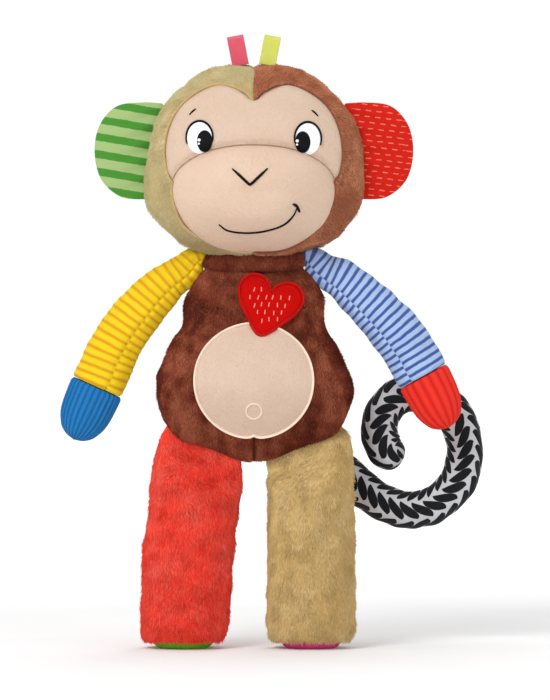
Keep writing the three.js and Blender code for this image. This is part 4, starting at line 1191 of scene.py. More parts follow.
@dataclass
class Torso:
    """The body: two plush covers sewn at the sides and darted at the crotch, a belly patch and a heart."""

    cloths: Cloths
    height: float = 121.0
    front_depth: float = 31.0
    back_depth: float = 25.0
    neck_depth: float = 16.0
    patch_size: tuple[float, float] = (69.5, 67.5)
    heart_size: float = 35.5
    heart_tilt: float = math.radians(15)
    tufts: int = 47500  # on each half
    tuft: Tuft = Tuft(length=2.2, width=0.46, lift=0.2, clump=0.34, clump_size=13.0, loose=0.14, patch=0.62)
    form: Pillow = field(init=False)
    patch: Outline = field(init=False)
    heart: Outline = field(init=False)

    def __post_init__(self) -> None:
        """Works out the outlines of the body, the patch and the heart."""
        shares = np.array([0.0, 0.35, 0.66, 0.9])
        hem = np.stack([shares * HIP_X, CROTCH_Z + HIP_RISE * shares**1.74], -1)
        sides = [
            (57.1, 144.4),
            (59.5, 157.0),
            (52.1, 177.4),
            (43.0, 194.0),
            (40.4, 211.5),
            (30.0, 228.0),
            (18.0, 232.4),
            (0.0, NECK_Z),
        ]
        half = np.vstack([hem, sides]) - (0.0, TORSO_Z)
        self.form = Pillow(
            Outline.of_half(half),
            (0.0, 0.0, TORSO_Z),
            lambda z: self.depth(z, self.front_depth),
            lambda z: self.depth(z, self.back_depth),
            lambda x, z: 0 * x,
        )
        turn = np.linspace(0, 2 * math.pi, 720, endpoint=False)
        notch = 1 - 0.055 * np.exp(-np.abs(turn - 1.5 * math.pi) / 0.07)
        wide, tall = self.patch_size
        self.patch = Outline(np.stack([wide / 2 * np.cos(turn) * notch, tall / 2 * np.sin(turn) * notch], -1))
        lobes = [(0, -0.5), (0.27, -0.25), (0.47, 0.05), (0.5, 0.26), (0.38, 0.43), (0.2, 0.45)]
        lobes += [(0.05, 0.34), (0, 0.25)]
        right = np.asarray(lobes) * (self.heart_size * 1.06, self.heart_size)
        loop = curve(np.vstack([right, right[-2:0:-1] * (-1, 1)]), 900, closed=True)
        cos, sin = math.cos(-self.heart_tilt), math.sin(-self.heart_tilt)
        self.heart = Outline(loop @ np.array([(cos, sin), (-sin, cos)]))

    def depth(self, z: Array, full: float) -> Array:
        """Half the depth at a height from the middle: full at the belly, less at the neck and the hem."""
        share = (z + TORSO_Z - CROTCH_Z) / self.height
        upper = mix(full, self.neck_depth, smooth((share - 0.45) / 0.55))
        return upper * mix(0.62, 1, smooth(share / 0.4))

    def under_trims(self, x: Array, z: Array, margin: float) -> Array:
        """Whether places in the front view lie under the patch or the heart, grown by a margin."""
        dz, hx, hz = z - PATCH_Z, x - HEART_AT[0], z - HEART_AT[1]
        patch = np.hypot(x, dz) < self.patch.radius(np.arctan2(dz, x)) + margin
        heart = np.hypot(hx, hz) < self.heart.radius(np.arctan2(hz, hx)) + margin
        return patch | heart

    def grid(self, rises: Array, around: int) -> tuple[Array, Array]:
        """A half of the skin with its folds, and its outward directions.

        Out along its normals the skin moves by ripples, by swellings at the hips and chest and dips at the waist
        that fade as exp(-d^2), and by grooves at the side seam and the crotch dart.
        """
        angle = np.linspace(0, 2 * math.pi, around + 1)[None, :]
        base = self.form.at(angle, rises[:, None])
        normals = grid_normals(base, np.array([0, 0, TORSO_Z]))
        x, y, z = base[..., 0], base[..., 1], base[..., 2]
        trimmed = np.where(y < 0, smooth((np.hypot(x / 35, (z - PATCH_Z) / 34) - 1) / 0.3), 1.0)
        trimmed = trimmed * np.where(y < 0, smooth((np.hypot(x - HEART_AT[0], z - HEART_AT[1]) - 17) / 7), 1.0)
        move = ripple(base, 26, 11) * 0.9 * trimmed
        move += 2.4 * np.exp(-(((np.abs(x) - 45) / 13) ** 2) - ((z - 136) / 12) ** 2) * trimmed
        move += 1.2 * np.exp(-(((np.abs(x) - 33) / 9) ** 2) - ((z - 202) / 14) ** 2) * trimmed
        move -= 1.5 * np.exp(-((rises[:, None] / 0.07) ** 2)) * (z > 128)
        move -= 1.7 * np.exp(-((x / 1.7) ** 2)) * smooth((127 - z) / 5) * (y < 0)
        move -= 1.0 * np.exp(-(((np.abs(x) - 39) / 4) ** 2) - ((z - 178) / 9) ** 2) * trimmed
        return base + normals * move[..., None], normals

    def build(self) -> None:
        """Makes the covers, their pile, the patch, the crotch dart and the heart."""
        front, back = np.linspace(0, math.pi / 2, 76), np.linspace(-math.pi / 2, 0, 76)
        halves = (("front", front, 31), ("back", back, 47))
        for name, rises, seed in halves:
            points, normals = self.grid(rises, 220)
            uv = points[..., [0, 2]]
            cover = surface(f"torso_{name}_plush", points, uv, np.array([0, 0, TORSO_Z]))
            thicken(cover, PLUSH_WALL)
            inner = ("torso_stuffing",) if name == "back" else ()
            dress(cover, self.cloths.body_brown)
            settle(cover, "torso", (f"torso_{name}_cover", *inner))
            fur = pile(
                f"torso_{name}_pile",
                points,
                normals,
                swung((0.1, 0, -1), normals),
                self.tufts,
                self.tuft,
                self.cloths.body_pile,
                seed,
                self.bare if name == "front" else None,
            )
            settle(fur, "torso")
        self.build_patch()
        self.build_dart()
        self.build_heart()

    def build_dart(self) -> None:
        """Makes the dark stitched line of the crotch dart, from the notch of the patch down to the hem."""
        rise = np.linspace(PATCH_Z - self.patch_size[1] / 2 + 1.0, CROTCH_Z + 1.2, 60)
        line, out = on_skin(np.stack([0.15 * np.sin(rise * 2.2), rise], -1), self.form.front_y, 0.1)
        taper = mix(0.5, 1.0, smooth(np.linspace(0, 5, 60)))
        stitch = bead("crotch_dart_stitch", line, out, 1.3 * taper, np.array(0.8), 0.7)
        settle(dress(stitch, self.cloths.dart), "torso")

    def bare(self, roots: Array) -> Array:
        """Which tufts stay: those beside the patch, the heart and the stitched dart."""
        dart = (np.abs(roots[:, 0]) < 0.9) & (roots[:, 2] < PATCH_Z)
        return ~self.under_trims(roots[:, 0], roots[:, 2], 0.2) & ~dart

    def patch_y(self, x: Array, z: Array) -> Array:
        """The face of the belly patch: 0.9 mm off the skin at its rim and 1.8 mm inside, dimpled at the navel."""
        share = np.hypot(x, z - PATCH_Z) / self.patch.radius(np.arctan2(z - PATCH_Z, x))
        navel = np.exp(-((np.hypot(x, z - PATCH_Z + 18) / 4.2) ** 4))
        return self.form.front_y(x, z) - 0.9 - 0.9 * (1 - np.minimum(share, 1) ** 5) + 0.25 * navel

    def build_patch(self) -> None:
        """Makes the belly patch, its stitched border and the navel's stitched ring."""
        skin = self.form.front_y
        patch = lens(
            "belly_patch_velour",
            self.patch,
            (0.0, PATCH_Z),
            lambda x, z, share: self.patch_y(x, z),
            lambda x, z, share: skin(x, z) + 1.0,
            rings=40,
        )
        settle(dress(patch, self.cloths.belly), "torso", ("belly_patch",))
        turn = np.linspace(0, 2 * math.pi, 520) + 0.4
        reach = self.patch.radius(turn) + 0.2
        path = np.stack([reach * np.cos(turn), PATCH_Z + reach * np.sin(turn)], -1)
        line, out = on_skin(path, skin, 0.7)
        border = bead("belly_patch_satin_edge", line, out, np.array(1.5), np.array(1.3), 0.9, closed=True)
        settle(dress(border, self.cloths.cream), "torso", ("belly_patch_border",))
        ring = np.linspace(0, 2 * math.pi, 90)
        path = np.stack([4.6 * np.cos(ring), PATCH_Z - 18 + 4.6 * np.sin(ring)], -1)
        line, out = on_skin(path, self.patch_y, 0.05)
        navel = bead("navel_stitching", line, out, np.array(1.0), np.array(0.45), 0.9, closed=True)
        settle(dress(navel, self.cloths.cream), "torso", ("navel_stitch",))

    def heart_y(self, x: Array, z: Array) -> Array:
        """The face of the heart: 2.1 mm off the body's skin at its rim and 3 mm in its middle."""
        across, up = x - HEART_AT[0], z - HEART_AT[1]
        share = np.minimum(np.hypot(across, up) / self.heart.radius(np.arctan2(up, across)), 1)
        return self.form.front_y(x, z) - 2.1 - 0.9 * (1 - share**4)

    def build_heart(self) -> None:
        """Makes the heart, its corded border, an inner stitched line and the scattered stitches."""
        skin = self.form.front_y
        heart = lens(
            "heart_velour",
            self.heart,
            HEART_AT,
            lambda x, z, share: self.heart_y(x, z),
            lambda x, z, share: skin(x, z) + 1.0,
            rings=40,
        )
        settle(dress(heart, self.cloths.heart), "torso", ("heart_patch",))
        turn = np.linspace(0, 2 * math.pi, 420) + 0.2
        for name, share, width, height, finish, nodes in (
            ("heart_border", 1.01, 1.9, 2.9, self.cloths.heart_rim, ("heart_border_stitch",)),
            ("heart_inner_line", 0.92, 0.5, 0.3, self.cloths.heart_rim, ()),
        ):
            reach = self.heart.radius(turn) * share
            path = np.stack([HEART_AT[0] + reach * np.cos(turn), HEART_AT[1] + reach * np.sin(turn)], -1)
            line, out = on_skin(path, skin if nodes else self.heart_y, 0.4 if nodes else 0.0)
            cord = bead(name, line, out, np.array(width), np.array(height), 0.9, closed=True)
            settle(dress(cord, finish), "torso", nodes)
        rng = np.random.default_rng(5)
        dashes = []
        for row, up in enumerate(np.arange(-12.0, 15.0, 4.4)):
            for across in np.arange(-15.0, 16.0, 4.6) + (2.3 if row % 2 else 0.0):
                x, z = across + rng.uniform(-0.5, 0.5), up + rng.uniform(-0.6, 0.6)
                if math.hypot(x, z) > 0.78 * self.heart.radius(math.atan2(z, x)) - 1.2:
                    continue
                lean = rng.uniform(-0.1, 0.35)
                along = np.linspace(-1.5, 1.5, 8)
                path = np.stack([HEART_AT[0] + x + along * lean, HEART_AT[1] + z + along], -1)
                line, out = on_skin(path, self.heart_y, 0.0)
                dashes.append(bead("dash", line, out, np.array(0.75), np.array(0.35), 0, 6))
        stitches = join("heart_run_stitches", dashes)
        settle(dress(stitches, self.cloths.heart_dash), "torso")


def build_neck(cloths: Cloths) -> None:
    """Makes the gathered roll of plush between body and head, an oval with 14 folds.

    Args:
        cloths: The finishes.
    """
    half_width, half_depth, half_height = 30.5, 13.0, 8.0
    rise = np.linspace(-math.pi / 2, math.pi / 2, 28)[:, None]
    turn = np.linspace(0, 2 * math.pi, 97)[None, :]
    fold = 1 + 0.04 * np.sin(turn * 14) * np.cos(rise)
    x = half_width * np.cos(rise) ** 0.45 * np.cos(turn) * fold
    y = half_depth * np.cos(rise) ** 0.7 * np.sin(turn) * fold
    points = np.stack([x, y, NECK_ROLL_Z + half_height * np.sin(rise) + 0 * x], -1)
    roll = surface("neck_roll_plush", points, points[..., [0, 2]])
    settle(dress(roll, cloths.body_brown), "neck", ("neck_seam",))
    normals = grid_normals(points, np.array([0.0, 0.0, NECK_ROLL_Z]))
    tuft = Tuft(length=2.2, width=0.45, lift=0.3, clump=0.3, clump_size=10.0, loose=0.15)
    nap = swung((0, 0, -1), normals)
    fur = pile("neck_roll_pile", points, normals, nap, 9000, tuft, cloths.body_pile, 211)
    settle(fur, "neck")


# ---------------------------------------------------------------- head


@dataclass
class Head:
    """The head: a two-coloured plush hood round a velour face, with a puffed muzzle and stitched features."""

    cloths: Cloths
    width: float = 131.0
    height: float = 115.0
    front_depth: float = 39.0
    back_depth: float = 42.0
    muzzle_width: float = 97.0
    muzzle_height: float = 63.0
    muzzle_bottom: float = -54.5
    muzzle_bulge: float = 12.0
    eye_spacing: float = 64.0
    eye_heights: tuple[float, float] = (13.0, 12.4)  # above the head's middle, left and right
    eye_size: tuple[float, float] = (15.0, 19.0)
    pupil_size: tuple[float, float] = (9.2, 13.0)
    pupil_shift: tuple[float, float] = (2.9, 2.0)  # inwards and down from the middle of the white
    brow_out: float = 36.2
    brow_heights: tuple[float, float] = (28.4, 27.6)  # above the head's middle, left and right
    tufts: int = 49000  # on each half
    tuft: Tuft = Tuft(length=2.4, width=0.46, lift=0.3, clump=0.35, clump_size=11.0, loose=0.15, patch=0.3)
    form: Pillow = field(init=False)
    muzzle: Outline = field(init=False)
    face: Outline = field(init=False)

    def __post_init__(self) -> None:
        """Works out the outlines of the head, the face and the muzzle."""
        sides = [(0, 0), (0.35, 0.012), (0.69, 0.085), (0.95, 0.25), (1, 0.44)]
        crown = [(0.92, 0.68), (0.7, 0.855), (0.37, 0.975), (0, 1)]
        half = (np.asarray(sides + crown) - (0, 0.5)) * (self.width / 2, self.height)
        self.form = Pillow(
            Outline.of_half(half),
            (0.0, -3.0, HEAD_Z),
            lambda z: self.front_depth + 0 * z,
            lambda z: self.back_depth + 0 * z,
            self.relief,
        )
        lobes = [(0, 0), (0.42, 0.03), (0.84, 0.25), (1, 0.56), (0.93, 0.76), (0.6, 0.93), (0, 1)]
        cheek = np.asarray(lobes) * (self.muzzle_width / 2, self.muzzle_height) + (0, self.muzzle_bottom)
        self.muzzle = Outline.of_half(cheek, (0.0, self.muzzle_middle))
        seen = Outline.of_half(cheek)
        brow = [(0, -11.5), (47.2, -13.5), (52.5, -0.5), (50.4, 19.4), (41.0, 34.8), (21.0, 45.0)]
        brow += [(7.3, 40.7), (0, 35.5)]
        upper = Outline.of_half(brow)
        turn = np.linspace(0, 2 * math.pi, 1440, endpoint=False)
        reach = np.maximum(upper.radius(turn), seen.radius(turn))
        self.face = Outline(np.stack([reach * np.cos(turn), reach * np.sin(turn)], -1))

    @property
    def muzzle_middle(self) -> float:
        """The height of the muzzle's middle from the head's."""
        return self.muzzle_bottom + self.muzzle_height / 2

    def relief(self, x: Array, z: Array) -> Array:
        """How far the muzzle swells ahead: its bulge, eased over an oval 1.08 and 1.12 times its size."""
        wide, tall = 1.08 * self.muzzle_width / 2, 0.56 * self.muzzle_height
        return self.muzzle_bulge * smooth(1.35 * (1 - np.hypot(x / wide, (z - self.muzzle_middle) / tall)))

    def build(self) -> None:
        """Makes the hood, the face, the muzzle and the features."""
        right = (-math.pi / 2, math.pi / 2)
        left = (math.pi / 2, 1.5 * math.pi)
        self.build_hood("beige", left, self.cloths.beige, self.cloths.beige_pile, 61)
        self.build_hood("brown", right, self.cloths.brown, self.cloths.brown_pile, 83)
        self.build_face()
        for side, name in ((-1, "left"), (1, "right")):
            self.build_eye(side, name)
        self.build_mouth()

    def build_hood(
        self, name: str, span: tuple[float, float], backing: bpy.types.Material, shades: list, seed: int
    ) -> None:
        """Makes half the hood, from the edge of the face round to the middle of the back, and its pile.

        Args:
            name: The half's colour.
            span: The angles in the front view that it covers.
            backing: The material of the cloth.
            shades: The materials of the pile.
            seed: What places the pile.
        """
        angle = np.linspace(*span, 150)[None, :]
        start = np.arccos(np.minimum(self.face.radius(angle) / self.form.outline.radius(angle), 0.995))
        share = np.linspace(0, 1, 130)[:, None]
        rise = mix(start, -math.pi / 2, share)
        base = self.form.at(angle, rise)
        normals = grid_normals(base, np.array([0, -3.0, HEAD_Z]))
        x = base[..., 0]
        middle_seam, face_rim = np.exp(-((x / 1.5) ** 2)), np.exp(-((share / 0.02) ** 2))
        move = ripple(base, 34, 21) * 0.8 - 1.3 * middle_seam + 0.9 * face_rim
        move -= 1.1 * np.exp(-((rise / 0.05) ** 2)) * (np.abs(x) > 52)
        points = base + normals * move[..., None]
        hood = surface(f"head_hood_{name}", points, points[..., [0, 2]], np.array([0, 0, HEAD_Z]))
        thicken(hood, PLUSH_WALL)
        inner = ("head_stuffing",) if name == "brown" else ()
        dress(hood, backing)
        settle(hood, "head", (f"head_cover_{name}", *inner))
        out = np.stack([base[..., 0], 0 * x, base[..., 2] - HEAD_Z], -1)
        out = unit(out) + np.array([0, 0, -0.6])
        nap = unit(out - normals * (out * normals).sum(-1, keepdims=True) + 1e-6)
        fur = pile(f"head_pile_{name}", points, normals, nap, self.tufts, self.tuft, shades, seed)
        settle(fur, "head")

    def face_y(self, x: Array, z: Array) -> Array:
        """The skin of the face panel: 0.2 mm ahead of the form, and sunk 2.6 mm round the muzzle's top."""
        up = z - HEAD_Z - self.muzzle_middle
        beyond = np.hypot(x, up) - self.muzzle.radius(np.arctan2(up, x))
        return self.form.front_y(x, z) - 0.2 + 2.6 * np.exp(-((beyond / 2.8) ** 2)) * smooth((up - 4) / 12)

    def muzzle_y(self, x: Array, z: Array) -> Array:
        """The skin of the muzzle: 1.9 mm ahead of the form, 4.1 mm at its top, and rolled in at its edge."""
        up = z - HEAD_Z - self.muzzle_middle
        share = np.minimum(np.hypot(x, up) / self.muzzle.radius(np.arctan2(up, x)), 1)
        seam = 0.55 * np.exp(-((x / 0.9) ** 2)) * smooth((z - HEAD_Z + 9) / 3)
        upper = smooth((up - 2) / 16)
        puff = (1.9 + 2.2 * upper) * (1 - share**14)
        return self.form.front_y(x, z) - puff + (0.8 + 1.6 * upper) * share**30 + seam

    def build_face(self) -> None:
        """Makes the face panel, the muzzle over it, and a tan line of painted shade in the crease along the
        muzzle's top.
        """
        skin = self.form.front_y
        face = lens(
            "face_velour",
            self.face,
            (0.0, HEAD_Z),
            lambda x, z, share: self.face_y(x, z) + 1.2 * share**30,
            lambda x, z, share: skin(x, z) + 4.9,
            rings=60,
            around=180,
        )
        settle(dress(face, self.cloths.face), "head", ("face_panel",))
        muzzle = lens(
            "muzzle_velour",
            self.muzzle,
            (0.0, HEAD_Z + self.muzzle_middle),
            lambda x, z, share: self.muzzle_y(x, z),
            lambda x, z, share: skin(x, z) + 3.6,
            rings=64,
            around=190,
        )
        settle(dress(muzzle, self.cloths.muzzle), "head", ("muzzle_panel",))
        # A tan line laid in the crease along the muzzle's top: painted shade for the crease, where the muzzle is
        # sewn to the face.
        turn = np.linspace(math.radians(14), math.radians(166), 260)
        reach = self.muzzle.radius(turn) + 0.3
        path = np.stack([reach * np.cos(turn), HEAD_Z + self.muzzle_middle + reach * np.sin(turn)], -1)
        line, out = on_skin(path, self.face_y, 0.15)
        thick = 0.9 * np.sin(np.linspace(0, math.pi, 260)) ** 0.8
        seam = bead("muzzle_crease_shade_line", line, out, thick, np.array(0.5), 0.5)
        settle(dress(seam, self.cloths.seam), "head")

    def oval(
        self, name: str, size: tuple[float, float], at: tuple[float, float], low: float, dome: float
    ) -> bpy.types.Object:
        """An embroidered oval on the face: low at its rim and raised by a dome of the given height.

        Args:
            name: The piece's name.
            size: Full width and height.
            at: x and z of its middle.
            low: How far its rim stands ahead of the face.
            dome: How much further its middle stands.

        Returns:
            The oval.
        """
        return lens(
            name,
            ellipse(*size),
            at,
            lambda x, z, share: self.face_y(x, z) - low - dome * (1 - share**3),
            lambda x, z, share: self.face_y(x, z) + 0.4,
            rings=16,
            around=64,
        )

    def build_eye(self, side: int, name: str) -> None:
        """Makes an eye: the white, the pupil with two small lights, the lid line and the brow.

        Args:
            side: -1 or +1.
            name: left or right, as seen.
        """
        x, z = side * self.eye_spacing / 2, HEAD_Z + self.eye_heights[side > 0]
        white = self.oval(f"{name}_eye_satin", self.eye_size, (x, z), 0.4, 0.5)
        settle(dress(white, self.cloths.white), "head", (f"{name}_eye_white",))
        px, pz = x - side * self.pupil_shift[0], z - self.pupil_shift[1]
        pupil = self.oval(f"{name}_pupil_satin", self.pupil_size, (px, pz), 0.9, 0.4)
        settle(dress(pupil, self.cloths.black), "head", (f"{name}_eye_pupil",))
        lights = [
            self.oval("light", (1.9, 1.8), (px - 3.3, pz + 0.7), 1.25, 0.3),
            self.oval("light", (1.3, 1.2), (px - 3.4, pz - 1.5), 1.25, 0.3),
        ]
        shine = join(f"{name}_eye_lights", lights)
        settle(dress(shine, self.cloths.white), "head")
        sweep = np.linspace(math.radians(196), math.radians(-24), 70)
        wide, tall = self.eye_size[0] / 2 + 0.4, self.eye_size[1] / 2 + 0.4
        lid = np.stack([x + side * wide * np.cos(sweep), z + tall * np.sin(sweep)], -1)
        line, out = on_skin(lid, self.face_y, 0.35)
        thick = mix(0.6, 1.5, np.sin(np.linspace(0, math.pi, 70)) ** 0.6)
        stroke = bead(f"{name}_lid_line", line, out, thick, np.array(0.75), 0.7)
        settle(dress(stroke, self.cloths.black), "head", (f"{name}_eye_lid",))
        along = np.linspace(-1, 1, 20)
        bx, bz = side * self.brow_out, HEAD_Z + self.brow_heights[side > 0]
        brow = np.stack([bx - side * along * 2.1, bz + along * 1.9 + 0.5 * (1 - along**2)], -1)
        line, out = on_skin(brow, self.face_y, 0.1)
        stroke = bead(f"{name}_brow_line", line, out, mix(0.5, 1.2, 1 - along**2), np.array(0.5), 0.7)
        settle(dress(stroke, self.cloths.black), "head", (f"{name}_brow_stitch",))

    def build_mouth(self) -> None:
        """Makes the nose and the crooked smile with its dimple, stitched on the muzzle."""
        vee = [(-12.6, -5.6), (-7.9, -9.9), (-3.2, -14.3), (-2.1, -15), (-1, -14.3), (3.7, -9.9), (8.4, -5.4)]
        bow = [(-20.6, -38.2), (-16, -41.6), (-5, -43.3), (6.9, -42.2), (18, -38.4), (23.5, -33.1)]
        bow += [(25.6, -28.6)]
        nose, smile = curve(vee, 90), curve(bow, 160)
        dimple = curve([(23.0, -26.3), (25.4, -27.6), (27.2, -31.2)], 24)
        for name, path, width, node in (
            ("nose_line", nose, 1.7, "nose_stitch"),
            ("smile_line", smile, 1.35, "smile_stitch"),
            ("dimple_line", dimple, 1.7, None),
        ):
            line, out = on_skin(path + (0, HEAD_Z), self.muzzle_y, 0.1)
            to_end = np.minimum(np.linspace(0, 1, len(path)), np.linspace(1, 0, len(path)))
            taper = np.minimum(1, 0.45 + 3 * to_end)
            stroke = bead(name, line, out, width * taper, np.array(0.7), 0.7)
            settle(dress(stroke, self.cloths.black), "head", (node,) if node else ())


@dataclass
class Ear:
    """A crinkle ear: two cotton faces sewn at the rim over a film, gathered where it joins the head."""

    name: str
    side: int
    material: bpy.types.Material
    slot: str
    root: float = 54.0
    tip: float = 95.5
    half_height: float = 29.0
    lift: float = 6.0
    plane: float = -3.0

    def outline(self) -> Outline:
        """The ear's edge about its middle: from the root down, round the tip and back over the top."""
        shape = [(0, -0.95), (0.3, -1), (0.62, -0.95), (0.9, -0.6), (1, 0), (0.92, 0.55), (0.68, 0.92)]
        shape += [(0.3, 1), (0, 0.98)]
        corners = [(mix(self.root, self.tip, a) - self.middle, b * self.half_height) for a, b in shape]
        edge_line = curve(corners, 500)
        straight = np.linspace(edge_line[-1], edge_line[0], 80)
        loop = np.vstack([edge_line, straight])
        return Outline(loop * (self.side, 1))

    @property
    def middle(self) -> float:
        """How far the ear's middle is from the toy's middle line."""
        return (self.root + self.tip) / 2

    def gathers(self, x: Array, z: Array) -> Array:
        """Folds that run out from the head: 0.8 mm waves that fade within 18 mm."""
        near = smooth((84 - np.abs(x)) / 18)
        return near * 0.8 * np.sin((z - HEAD_Z) * 0.62 + 0.05 * np.abs(x) ** 1.2)

    def build(self) -> None:
        """Makes the two faces of the ear; the back one stands for the film too."""
        at = (self.side * self.middle, HEAD_Z + self.lift)
        ripples = self.gathers
        faces = {
            "front": (
                lambda x, z, s: self.plane - 0.5 - 2.4 * (1 - s**2.6) - ripples(x, z) * (1 - s**6),
                lambda x, z, s: self.plane - 0.3 + 0 * x,
            ),
            "back": (
                lambda x, z, s: self.plane + 0.3 + 0 * x,
                lambda x, z, s: self.plane + 0.5 + 1.9 * (1 - s**2.6) + ripples(x, z) * (1 - s**6),
            ),
        }
        for which, (top, bottom) in faces.items():
            name = f"{self.name}_ear_{which}_cotton"
            piece = lens(name, self.outline(), at, top, bottom, rings=40, around=150)
            dress(piece, self.material)
            body = f"{self.name}_ear"
            inner = (f"{self.name}_ear_crinkle_film",) if which == "back" else ()
            bend(piece, ("head", body), (f"{self.name}_ear_{which}", *inner))


@dataclass
class RibbonLoop:
    """A folded satin ribbon sewn into the crown."""

    name: str
    side: int
    material: bpy.types.Material
    width: float = 10.0
    height: float = 16.5
    gap: float = 3.0
    thickness: float = 0.6
    spacing: float = 16.5
    splay: float = math.radians(11)

    def build(self) -> None:
        """Makes the loop: up the front, round a half circle and down the back, then leaned outwards."""
        half = self.gap / 2 + self.thickness
        top = self.height - half
        turn = np.linspace(math.pi, 0, 24)
        up = np.linspace(-1.5, top, 34)[:-1]
        y = np.concatenate([np.full(33, -half), half * np.cos(turn), np.full(33, half)])
        z = np.concatenate([up, top + half * np.sin(turn), up[::-1]])
        across = np.linspace(-self.width / 2, self.width / 2, 15)
        lean = 0.5 * np.sin(z / self.height * 2.4)
        x = across[None, :] + 0 * y[:, None]
        y = (y + lean)[:, None] + 0.15 * np.cos(across / 2.1)[None, :]
        z = z[:, None] + 0 * x
        angle = self.side * self.splay
        cos, sin = math.cos(angle), math.sin(angle)
        points = np.stack([x * cos + z * sin, y, z * cos - x * sin], -1)
        points += np.array([self.side * self.spacing / 2, -3.0, HEAD_Z + 57.5 + 1.2])
        middle = points[:, 7]
        walked = walk(middle)
        uv = np.stack([x, np.broadcast_to(walked[:, None], x.shape)], -1)
        inner = points.mean((0, 1))
        loop = thicken(surface(f"{self.name}_satin_loop", points, uv, inner), self.thickness)
        dress(loop, self.material)
        settle(loop, self.name, (f"{self.name}_loop",))
        LOG.info("%s is cut %.0f by %.1f mm", loop.name, self.width, length_of(middle))


# ---------------------------------------------------------------- arms, legs and tail


